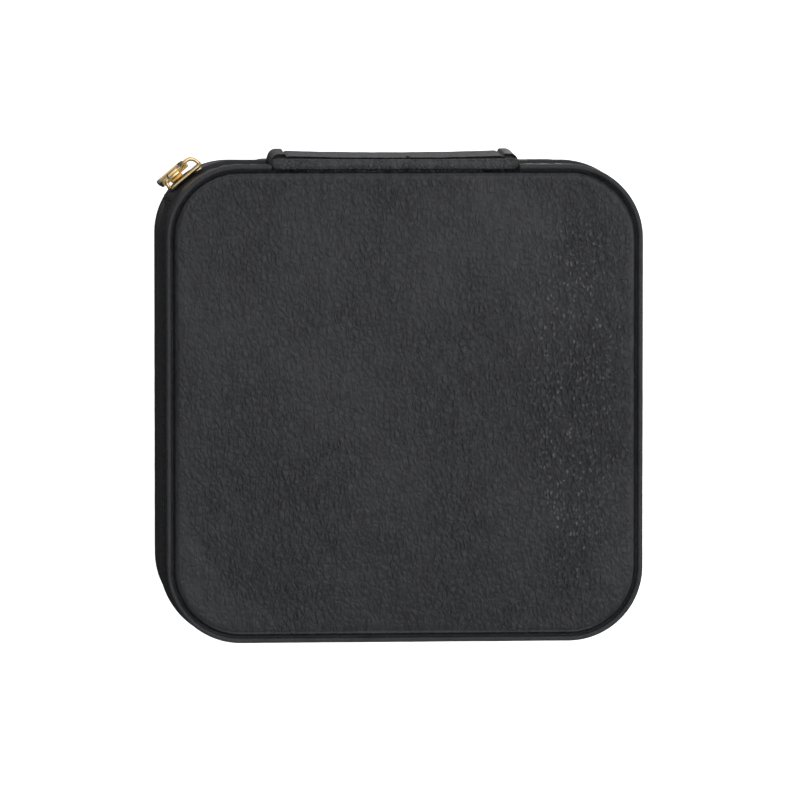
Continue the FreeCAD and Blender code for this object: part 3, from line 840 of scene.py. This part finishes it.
def hinge_strap():
    """One strip over the edge, down the back and under, across the join of base and lid."""
    section = strap_section()
    ends = np.concatenate([np.linspace(0, STRAP_RAMP, 14), np.linspace(STRAP_RAMP + 0.25, 5.0, 16)])
    between = np.linspace(STRAP_X0 + 5.6, STRAP_X1 - 5.6, 125)
    xs = np.concatenate([STRAP_X0 + ends, between, (STRAP_X1 - ends)[::-1]])
    outer = []
    inner = []
    back = HALF - LEATHER + 0.05
    for x in xs:
        rise = strap_rise(x)
        round_end = max(0.0, 1 - min(x - STRAP_X0, STRAP_X1 - x) / STRAP_LIP_ROUND) ** 2
        for y, z, share in section:
            if z > LID_PIPE_Z and PANEL_HALF + 0.1 < y < HALF + 0.6:
                y += 0.9 * round_end
            if share > 0.7 and z > STRAP_NICK_Z:
                nick = STRAP_NICK_H * math.exp(-((x - STRAP_NICK_X) / STRAP_NICK_W) ** 2)
                z -= nick * min(1.0, (z - STRAP_NICK_Z) / 1.2)
            wave = 0.05 * rough((x, y, z), 7.0, 9.0) + 0.03 * rough((x, y, z), 2.2, 5.0)
            near_fold = math.exp(-((z - ZIP_Z + 1.0) / 2.2) ** 2)
            flex = near_fold * 0.10 * math.sin((z - ZIP_Z) * 3.0 + 0.1 * x)
            outer.append((x, y + share * (rise + wave + flex), z + 0.35 * (1 - share) * min(0.0, rise)))
            deep_z = min(max(z, BASE_PIPE_Z + 0.3), LID_PIPE_Z - 0.3)
            tucked = share == 0.0 and y < HALF - LEATHER
            inner.append((x, y if tucked else back, deep_z))
    piece = mesh_piece("hinge_strap", outer + inner, shell_faces(len(xs), len(section)), STRAP_GRAIN)
    fit(piece, None, "trim_leather", "hinge_strap_lid", "hinge_strap_base")
    y = STRAP_END_Y * MM
    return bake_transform(piece)


def hinge_lining():
    """The strip that closes the hinge gap from inside."""
    upper_lo, upper_hi = low("hinge_lining_lid"), high("hinge_lining_lid")
    z0, z1 = low("hinge_lining_base").z, upper_hi.z
    zs = np.linspace(z0, z1, 30)
    rings = []
    for x in np.linspace(upper_lo.x, upper_hi.x, 60):
        front = [(x, upper_lo.y + 0.05 * rough((x, upper_lo.y, z), 3.0), z) for z in zs]
        rings.append(front + [(x, upper_hi.y, z) for z in reversed(zs)])
    piece = Solid().tube(rings).piece("hinge_lining", SUEDE)
    fit(piece, None, "suede", "hinge_lining_lid", "hinge_lining_base")
    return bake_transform(piece)


# ---- zip ----
COIL_PITCH = 1.15
COIL_R = 0.26
FLEX_ANGLE = 152.0      # the lid's zip bends free of the slider up to here
TEETH_END_ANGLE = 111.4
BULGE_ANGLE = 149.0     # where the closed chain comes out of the slider
BULGE = 1.3             # how far it pushes the folded tape out there
BULGE_WIDTH = 1.3
# One turn of the coil: place across its depth (-1..1), height off the zip's middle, thickness.
COIL_TURN = (
    (1.0, 2.1, 0.85), (1.0, 1.3, 1.0), (0.95, 0.75, 1.0), (0.6, 0.35, 1.15), (0.0, 0.12, 1.3),
    (-0.6, 0.35, 1.15), (-0.95, 0.75, 1.0), (-1.0, 1.3, 1.0), (-1.0, 2.1, 0.85),
)

# The fold of the tape over the coil: inset from its outer face, height off the zip's middle.
TAPE_FOLD = ((0.22, 2.5), (0.04, 1.9), (0.0, 1.2), (0.03, 0.62), (0.14, 0.42), (0.32, 0.36),
             (0.47, 0.45), (0.46, 1.3), (0.5, 2.1), (0.75, 2.5))


def coil_row(name, way, phase, start, end, body, node):
    """One half of the coil: a nylon loop at every pitch, its head a little wider."""
    middle = (COIL_OUT + COIL_IN) / 2
    depth = (COIL_OUT - COIL_IN) / 2 - COIL_R
    path = [(middle + depth * across, way * z) for across, z, _ in COIL_TURN]
    solid = Solid()
    for index in range(int((end - start) / COIL_PITCH)):
        s = start + (index + phase) * COIL_PITCH
        out = OPEN_WALK.at(s)[1]
        along = Vector((-out.y, out.x, 0))
        rings = []
        for k, ((offset, dz), heading) in enumerate(zip(path, headings(path))):
            side = out * -heading.y + Vector((0, 0, heading.x))
            lean = 0.16 * (1 if k < 4 else -1) * min(1.0, abs(dz))
            centre = OPEN_WALK.spot(s, offset, ZIP_Z + dz) + along * lean
            r = COIL_R * COIL_TURN[k][2]
            rings.append([centre + side * (r * math.cos(a)) + along * (r * math.sin(a)) for a in turns(6)])
        solid.tube(rings)
    return fit(solid.piece(name, NYLON), body, "zip_teeth", node)


def tape_section(way):
    """One half of the tape: sewn under the leather, stepping out, then folded over the coil."""
    seam = R_OUT - LEATHER - 0.02
    section = [(seam, 12.4), (seam, 4.3), (seam + 0.25, 3.9), (TAPE_OFF + 0.25, 3.55), (TAPE_OFF + 0.45, 3.1)]
    section += [(FOLD_OUT - inset, z) for inset, z in TAPE_FOLD]
    section += [(TAPE_OFF - 0.2, 2.95), (TAPE_OFF - 0.25, 3.3), (seam - 0.3, 3.6), (seam - 0.46, 4.2),
                (seam - 0.46, 12.4)]
    return [(offset, ZIP_Z + way * z) for offset, z in section]


def tape_bulge(s, k, offset, z):
    """The folded tape swells where the closed chain leaves the slider."""
    swell = BULGE * math.exp(-((s - corner_walk(BULGE_ANGLE)) / BULGE_WIDTH) ** 2)
    return offset + swell * min(1.0, max(0.0, (offset - TAPE_OFF) / (FOLD_OUT - TAPE_OFF))), z


def zip_parts():
    teeth_start = corner_walk(TEETH_END_ANGLE) + 0.3
    teeth_end = OPEN_WALK.length - (high("zip_bottom_stop").x - STRAP_X1) - 0.5
    flex = corner_walk(FLEX_ANGLE)
    flex_teeth = teeth_start + int((flex - teeth_start) / COIL_PITCH) * COIL_PITCH
    coil_row("zip_coil_base", -1, 0.0, teeth_start, teeth_end, "base", "base_zip_teeth")
    coil_row("zip_coil_lid", 1, 0.5, flex_teeth, teeth_end, "lid", "lid_zip_teeth")
    coil_row("zip_coil_lid_end", 1, 0.5, teeth_start, flex_teeth, "lid", "lid_zip_teeth_end")
    for name, way, start, end, body, node in (
        ("zip_tape_base", -1, 0.0, None, "base", "base_zip_tape"),
        ("zip_tape_lid", 1, flex, None, "lid", "lid_zip_tape"),
        ("zip_tape_lid_end", 1, 0.0, flex, "lid", "lid_zip_tape_end"),
    ):
        piece = sweep(name, tape_section(way), TAPE, start=start, end=end, step=0.5, shape=tape_bulge)
        fit(piece, body, "zip_tape", node)


# ---- slider and pull, in the slider's own axes: t towards the closed end, n outwards, w up ----
BAR = Vector(JOINTS["pull_tab_swing"]["pos_m"]) / MM
SLIDE = Vector(JOINTS["pull_tab_swing"]["axis"]).normalized()
OUTWARD = Vector((BAR.x - CORNER.x, BAR.y - CORNER.y, 0)).normalized()
BAR_N = (BAR - CORNER).dot(OUTWARD)
PLATE_HALF_L = 4.4
# Half-width and corner radius of a plate: broad at the front, narrower at the rear.
PLATE_FRONT = (3.45, 1.3)
PLATE_REAR = (2.95, 1.5)
OUTER_PLATE = 16.3      # inner face of the outer plate, outer face of the inner plate
INNER_PLATE = 13.2
PLATE_T = 0.52
INNER_BEND = 0.6        # how far the inner plate's ends curve away from the coil
# A plate's rings, from inside to outside: share of its thickness, inset, share of its flange.
PLATE_RINGS = (
    (0.03, 1.15, 0.0), (0.00, 0.80, 0.0), (0.08, 0.62, 0.9), (0.03, 0.50, 1.0), (0.07, 0.18, 1.0),
    (0.23, 0.05, 0.9), (0.50, 0.0, 0.3), (0.70, 0.03, 0.0), (0.88, 0.14, 0.0), (0.98, 0.32, 0.0),
    (1.00, 0.60, 0.0), (1.05, 1.2, 0.0),
)
# The arch along its middle: t, n, half-width, half-thickness.
ARCH = (
    (4.05, 16.8, 1.0, 0.42), (4.02, 17.2, 0.95, 0.38), (3.90, 17.8, 0.9, 0.38), (3.62, 18.4, 0.9, 0.40),
    (3.15, 18.85, 0.9, 0.42), (2.5, 19.05, 0.9, 0.42), (1.8, 19.02, 0.9, 0.42), (1.15, 18.80, 0.85, 0.42),
    (0.62, 18.42, 0.62, 0.42), (0.3, BAR_N, 0.44, 0.44), (-1.4, BAR_N, 0.44, 0.44),
    (-3.1, BAR_N, 0.44, 0.44), (-3.42, BAR_N - 0.02, 0.6, 0.42), (-3.7, 18.12, 0.85, 0.38),
    (-3.9, 17.85, 0.9, 0.36), (-3.97, 17.4, 0.95, 0.38), (-3.98, 16.8, 1.0, 0.42),
)
PULL_TOP = -2.4
PULL_END = -18.5
PULL_T0 = -5.0
PULL_T1 = 2.2
PULL_THICK = 1.2
PULL_ROUND = 1.5
# Half of the pull's rings, from its edge to its sunk face: level in half thicknesses, inset.
PULL_RINGS = ((0.6, 0.0), (0.9, 0.1), (1.0, 0.3), (1.0, 0.7), (0.93, 0.85), (0.62, 0.98), (0.5, 1.15),
              (0.5, 2.0))
# The neck between eye and tab: height and half-width.
PULL_NECK = ((-0.85, 1.25), (-1.4, 1.3), (-2.0, 1.45), (-2.5, 1.8), (-3.0, 2.2), (-3.4, 2.5))
EYE_T0 = -2.95
EYE_T1 = -0.1
EYE_R = 1.18
BORE_R = 0.56


def local(t, n, w):
    return Vector((CORNER.x, CORNER.y, ZIP_Z + w)) + SLIDE * t + OUTWARD * n


def shield(inset):
    """A slider plate's outline, all its corners round."""
    corners = []
    for st, sw in CORNERS:
        half_w, radius = PLATE_FRONT if st > 0 else PLATE_REAR
        corners.append((st * (PLATE_HALF_L - radius), sw * (half_w - radius), max(0.05, radius - inset)))
    return round_outline(corners, 9)


def slider_body():
    """Two plates with turned flanges, and the post that joins them at the front."""
    solid = Solid(local)
    for base, way, depth in ((OUTER_PLATE + 0.1, 1, 0.16), (INNER_PLATE, -1, 0.85)):
        rings = []
        for level, inset, flange in PLATE_RINGS:
            ring = []
            for t, w in shield(inset):
                side = min(1.0, max(0.0, (abs(w) - 2.0) / 0.6)) * min(1.0, max(0.0, (3.9 - abs(t)) / 0.5))
                bend = INNER_BEND * (t / PLATE_HALF_L) ** 2 if way < 0 else 0.0
                ring.append((t, base - bend + way * (level * PLATE_T - depth * flange * side), w))
            rings.append(ring)
        solid.tube(rings)
    post = []
    for n in np.linspace(INNER_PLATE - 0.55, OUTER_PLATE + 0.15, 7):
        flare = 1.0 + 0.25 * abs(2 * (n - INNER_PLATE) / (OUTER_PLATE - INNER_PLATE) - 1) ** 3
        post.append([(2.5 + 1.45 * math.cos(a), n, 0.24 * flare * math.sin(a)) for a in turns(16)])
    solid.tube(post)
    fit(solid.piece("slider_plates", GOLD), "slider", "gold_metal", "slider_body")


def slider_bridge():
    """A flat arch pressed from strip, necked to a round bar where the pull hangs."""
    rings = []
    for (t, n, wide, thick), heading in zip(ARCH, headings(ARCH)):
        power = 0.45 if wide > 0.5 else 1.0
        ring = []
        for across, up in (squarish(a, power, power) for a in turns(20)):
            ring.append((t - heading.y * thick * up, n + heading.x * thick * up, wide * across))
        rings.append(ring)
    piece = Solid(local).tube(rings).piece("slider_arch", GOLD)
    fit(piece, "slider", "gold_metal", "slider_bridge")


def pull_outline(inset):
    r = max(0.15, PULL_ROUND - inset)
    middle_t, half_t = (PULL_T0 + PULL_T1) / 2, (PULL_T1 - PULL_T0) / 2 - inset - r
    middle_w, half_w = (PULL_TOP + PULL_END) / 2, (PULL_TOP - PULL_END) / 2 - inset - r
    return round_outline([(middle_t + st * half_t, middle_w + sw * half_w, r) for st, sw in CORNERS], 8)


def pull_tab():
    """A flat tab with a raised rim both sides, hanging from a rolled eye."""
    solid = Solid(local)
    half = PULL_THICK / 2
    levels = [(-level, inset) for level, inset in reversed(PULL_RINGS)] + list(PULL_RINGS)
    solid.tube([[(t, BAR_N + half * level, w) for t, w in pull_outline(inset)] for level, inset in levels])
    middle = (EYE_T0 + EYE_T1) / 2
    neck = []
    for w, wide in PULL_NECK:
        ring = [squarish(a, 0.4, 0.5) for a in turns(24)]
        neck.append([(middle + wide * across, BAR_N + (half - 0.06) * up, w) for across, up in ring])
    solid.tube(neck)
    length = EYE_T1 - EYE_T0
    section = [(0.10, BORE_R), (0.0, BORE_R + 0.12), (0.0, EYE_R - 0.30), (0.10, EYE_R - 0.10), (0.32, EYE_R)]
    section += [(length - t, r) for t, r in reversed(section)]
    around = []
    for a in turns(40):
        around.append([(EYE_T0 + t, BAR_N + r * math.cos(a), r * math.sin(a)) for t, r in section])
    solid.tube(around, looped=True)
    fit(solid.piece("pull", GOLD), "pull", "gold_metal", "pull_tab")


# ---- inside ----
def soft_box(name, lo, hi, radius, material, puff, cell):
    """A padded block: a rounded box, cut into cells, whose faces swell between their edges."""
    bm = bmesh.new()
    bmesh.ops.create_cube(bm, size=1.0)
    size = hi - lo
    middle = (lo + hi) / 2
    for v in bm.verts:
        v.co = v.co * size + middle
    bmesh.ops.bevel(bm, geom=bm.edges[:], offset=radius, segments=4, profile=0.5, affect="EDGES")
    for axis in range(3):
        normal = Vector((0, 0, 0))
        normal[axis] = 1.0
        at = lo[axis] + cell
        while at < hi[axis] - cell * 0.5:
            point = Vector(middle)
            point[axis] = at
            bmesh.ops.bisect_plane(bm, geom=bm.verts[:] + bm.edges[:] + bm.faces[:], plane_co=point,
                                   plane_no=normal)
            at += cell
    for v in bm.verts:
        p = v.co - middle
        share = [1 - min(1.0, abs(2 * p[a] / size[a])) ** 2 for a in range(3)]
        for a in range(3):
            others = [share[b] for b in range(3) if b != a]
            if abs(p[a]) > size[a] / 2 - radius:
                v.co[a] += math.copysign(puff * others[0] ** 0.5 * others[1] ** 0.5, p[a])
        v.co += Vector([rough(v.co, 4.0, seed) for seed in (1.0, 2.0, 3.0)]) * 0.04
    points = [tuple(v.co) for v in bm.verts]
    faces = [tuple(v.index for v in f.verts) for f in bm.faces]
    bm.free()
    return mesh_piece(name, points, faces, material)


ROLL_ENDS = (0.0, 0.25, 0.7, 1.4, 2.4, 4.0)     # rings near a roll's end, from the end
ROLL_TUCK = 2.4                                 # the roll narrows over this length


def ring_roll(index):
    """One foam roll in its suede wrap: round on top, squeezed at the foot, puckered at its ends."""
    node = "ring_roll_%d" % index
    lo, hi = low(node), high(node)
    half = (hi - lo) / 2
    middle = (hi + lo) / 2
    length = hi.x - lo.x
    rings = []
    for d in [*ROLL_ENDS, *np.linspace(6.0, length - 6.0, 54), *(length - e for e in reversed(ROLL_ENDS))]:
        x = lo.x + d
        from_end = min(d, length - d)
        size = 0.55 + 0.45 * math.sqrt(1 - (1 - min(1.0, from_end / ROLL_TUCK)) ** 2)
        limit = min(1.0, from_end / 3.0)
        ring = []
        for across, up in (squarish(a, 0.75, 0.8) for a in turns(40)):
            y = middle.y + half.y * across * size
            z = middle.z + half.z * up * (0.85 + 0.15 * size)
            swell = 0.10 * rough((x, y, z), 8.0, index) + 0.04 * rough((x, y, z), 2.5, index + 9.0)
            y += swell * across * limit
            if z > hi.z - 6:
                z += (swell * up - 0.15 * abs(math.sin(x * 0.35 + index))) * limit
            point = (x, min(max(y, lo.y), hi.y), max(z, lo.z))
            ring.append(inside_tray(point) if hi.y > CORE else point)
        rings.append(ring)
    piece = Solid().tube(rings).piece(node + "_wrap", SUEDE)
    return fit(piece, "base", "suede", node)


def inside_tray(point):
    """The point, moved in where the tray's round corner would cut it off."""
    x, y, z = point
    dx, dy = abs(x) - CORE, y - CORE
    reach = math.hypot(dx, dy)
    limit = LIP_IN - 0.2
    if dx <= 0 or dy <= 0 or reach <= limit:
        return point
    return (math.copysign(CORE + dx * limit / reach, x), CORE + dy * limit / reach, z)


def lip():
    """The lined lip: a card ring wrapped in suede, with a soft round top."""
    r = (LIP_OUT - LIP_IN) / 2
    crown = LIP_TOP - r
    section = [(LIP_OUT, z) for z in np.linspace(LIP_FOOT, crown, 12)]
    section += arc_points(((LIP_OUT + LIP_IN) / 2, crown), r, 10, 170, 8)
    section += [(LIP_IN, z) for z in np.linspace(crown, LIP_FOOT, 12)]

    def shape(s, k, offset, z):
        return offset + 0.03 * rough((s, offset, z), 6.0, 3.0), z

    piece = sweep("tray_lip", section, SUEDE, walk=CLOSED_WALK, closed=True, shape=shape, step=1.0)
    return fit(piece, "base", "suede", "base_lining_rim")


def dividers():
    for node in ("divider_long", "divider_left", "divider_right"):
        piece = soft_box(node + "_wrap", low(node), high(node), 0.6, SUEDE, puff=0.12, cell=2.0)
        fit(piece, "base", "suede", node)


POCKET_WAVES = 26
POCKET_WAVE = 0.8
POCKET_ROWS = 40
POCKET_COLUMNS = 261
POCKET_CLOTH = 0.35     # thickness of its cloth


def pocket():
    """A gathered cloth pocket: ruched at its elastic mouth, flat where it is sewn to the lining."""
    lo, hi = low("lid_pocket"), high("lid_pocket")
    front = []
    for v in np.linspace(0, 1, POCKET_ROWS):
        y = lo.y + (hi.y - lo.y) * v
        gather = (1 - v) ** 1.3
        for u in np.linspace(0, 1, POCKET_COLUMNS):
            x = lo.x + (hi.x - lo.x) * u
            edge = min(1.0, min(u, 1 - u) * 14) * min(1.0, (1 - v) * 10)
            bulge = 1.6 * math.sin(math.pi * u) ** 0.6 * math.sin(math.pi * min(1.0, 0.25 + 0.75 * v)) ** 0.8
            phase = 2 * math.pi * POCKET_WAVES * u + 1.6 * rough((x, 0.3 * y, 0), 9.0, 5.0)
            fold = POCKET_WAVE * gather * (0.75 + 0.5 * rough((x, y, 1), 6.0)) * math.sin(phase)
            z = CEILING - 0.55 - edge * (0.5 + bulge + 0.5 * fold) + 0.15 * rough((x, y, 2), 4.0) * edge
            front.append((x, y, min(z, CEILING - 0.45)))
    points = front + [(x, y, z + POCKET_CLOTH) for x, y, z in front]
    piece = mesh_piece("pocket", points, shell_faces(POCKET_ROWS, POCKET_COLUMNS), CLOTH)
    return fit(piece, "lid", "elastic", "lid_pocket")


def elastic():
    """The ruched elastic at the pocket's mouth."""
    lo, hi = low("pocket_elastic"), high("pocket_elastic")
    half = (hi - lo) / 2
    middle = (hi + lo) / 2
    rings = []
    for x in np.linspace(lo.x, hi.x, 320):
        ripple = 0.16 * math.sin(2 * math.pi * x / 1.5 + 1.5 * rough((x, 0, 0), 5.0))
        wide, tall = 0.9 * half.y * (1 + 0.4 * ripple), half.z * (0.8 + ripple)
        ring = [squarish(a, 0.6, 0.6) for a in turns(14)]
        rings.append([(x, middle.y + wide * across, middle.z + tall * up) for across, up in ring])
    piece = Solid().tube(rings).piece("pocket_elastic_band", CLOTH)
    return fit(piece, "lid", "elastic", "pocket_elastic")


def carried_over():
    """CAD nodes whose shape is already right."""
    for node in ("base_panel_board", "base_wall_board", "lid_panel_board", "lid_wall_board"):
        repaint(node, BOARD)
    repaint("lid_foam_pad", FOAM)
    for node in ("base_lining_floor", "lid_lining_panel", "lid_lining_wall", "ring_roll_riser"):
        repaint(node, SUEDE)
    repaint("mirror", MIRROR, 0.25)
    repaint("mirror_frame", SUEDE, 0.35, 3)
    for node in ("zip_top_stop_base", "zip_top_stop_lid", "zip_bottom_stop"):
        repaint(node, GOLD, 0.12)


def build():
    lid_panel()
    base_panel()
    wall("side_lid", LID_EDGE_Z, LID_PIPE_Z, "lid", "lid_side_leather")
    wall("side_base", BASE_EDGE_Z, BASE_PIPE_Z, "base", "base_side_leather")
    stitches("stitches_lid", LID_EDGE_Z + STITCH_INSET, "lid")
    stitches("stitches_base", BASE_EDGE_Z - STITCH_INSET, "base")
    piping("piping_lid", LID_PIPE_Z, "lid", "lid_piping")
    piping("piping_base", BASE_PIPE_Z, "base", "base_piping")
    hinge_strap()
    hinge_lining()
    zip_parts()
    slider_body()
    slider_bridge()
    pull_tab()
    lip()
    for index in range(1, 5):
        ring_roll(index)
    dividers()
    pocket()
    elastic()
    carried_over()


# ---- stage ----
CAMERA_DISTANCE = 1500.0
CAMERA_LEFT = 4.95      # degrees off the lid's normal, towards -X
CAMERA_BACK = 3.2       # and towards +Y
CAMERA_TARGET = (-1.2, 0.82, 50.0)
CAMERA_LENS = 322.3
LIGHT_TARGET = (0, 0, 20)
FLOOR_HALF = 3000.0
CARD = ((26.0, 53.0), (110.0, 150.0), 0.6)      # two corners and the height it lies at
# Each: direction, cosine where it starts and is full, brightness before and after.
WORLD_LIGHTS = (
    ((0.0, 0.0, 1.0), 0.0, 0.45, 0.02, 0.29),
    ((0.40, 1.0, -0.8), 0.45, 1.0, 0.0, 0.50),
    ((0.16, 0.25, 1.0), 0.86, 1.0, 0.0, 1.36),
    ((0.1, -1.0, 0.16), 0.82, 1.0, 0.0, 1.30),
    ((1.0, -0.1, 0.16), 0.82, 1.0, 0.0, 0.75),
    ((-0.6, 0.9, 0.10), 0.75, 1.0, 0.0, 0.80),
)


def camera():
    data = bpy.data.cameras.new("camera")
    data.lens = CAMERA_LENS
    data.clip_end = 10.0
    piece = add_object("camera", data)
    back = Vector((-math.tan(math.radians(CAMERA_LEFT)), math.tan(math.radians(CAMERA_BACK)), 1.0))
    forward = -back.normalized()
    right = forward.cross(Vector((0, 1, 0))).normalized()
    up = right.cross(forward)
    turn = Matrix((right, up, -forward)).transposed().to_4x4()
    place = Vector(CAMERA_TARGET) - forward * CAMERA_DISTANCE
    piece.matrix_world = Matrix.Translation(place * MM) @ turn
    bpy.context.scene.camera = piece


def area_light(name, at, size, power):
    data = bpy.data.lights.new(name, "AREA")
    data.shape = "RECTANGLE"
    data.size, data.size_y = size[0] * MM, size[1] * MM
    data.energy = power
    piece = add_object(name, data)
    piece.location = Vector(at) * MM
    piece.rotation_euler = (Vector(LIGHT_TARGET) - Vector(at)).to_track_quat("-Z", "Y").to_euler()


def studio_world():
    """Soft surroundings, a touch cooler than white: the parts of WORLD_LIGHTS, added up."""
    world = bpy.data.worlds.new("studio")
    bpy.context.scene.world = world
    n = Nodes(world)
    way = n.add("TexCoord").outputs["Generated"]
    total = None
    for direction, *levels in WORLD_LIGHTS:
        towards = Vector(direction).normalized()
        dot = n.add("VectorMath", {"operation": "DOT_PRODUCT"}, i0=way, i1=towards).outputs["Value"]
        value = n.ramp(dot, *levels)
        total = value if total is None else n.math("ADD", total, value)
    background = n.tree.nodes["Background"]
    n.put(background.inputs[0], rgba(0.96, 0.97, 1.0))
    n.put(background.inputs[1], total)


def flat_card(name, first, last, z, n):
    """A level card between two corners, in this paint, that casts no light on the case."""
    (x0, y0), (x1, y1) = first, last
    corners = [(x0, y0, z), (x1, y0, z), (x1, y1, z), (x0, y1, z)]
    card = mesh_piece(name, corners, [(0, 1, 2, 3)], n.owner)
    card.visible_diffuse = False
    return card


def bounce_card():
    """White card on the floor behind the case, seen only in the back wall's sheen."""
    n = new_paint("bounce_card")
    n.feed(Base_Color=n.mix(n.noise(n.place(), 0.02, 1.0), rgba(0.8, 0.8, 0.8), rgba(0.85, 0.85, 0.85)),
           Emission_Color=rgba(1.0, 1.0, 1.0), Emission_Strength=0.55)
    card = flat_card("bounce_card", *CARD, n)
    card.visible_camera = False
    card.visible_shadow = False


def floor():
    """Pale paper, bright enough to show white, that doesn't show in the case's sheen."""
    n = new_paint("floor_paper")
    n.feed(Base_Color=n.mix(n.noise(n.place(), 0.01), rgba(0.90, 0.90, 0.90), rgba(0.93, 0.93, 0.93)),
           Roughness=0.9, Specular_IOR_Level=0.1, Emission_Color=rgba(1.0, 1.0, 1.0), Emission_Strength=1.0)
    paper = flat_card("floor", (-FLOOR_HALF, -FLOOR_HALF), (FLOOR_HALF, FLOOR_HALF), 0, n)
    paper.visible_glossy = False


def stage():
    floor()
    studio_world()
    bounce_card()
    area_light("key_right", (420, 60, 420), (160, 160), 0.25)
    area_light("rim_back", (-40, 700, 260), (700, 260), 0.45)
    bpy.context.scene.view_settings.view_transform = "Standard"


build()
camera()
stage()
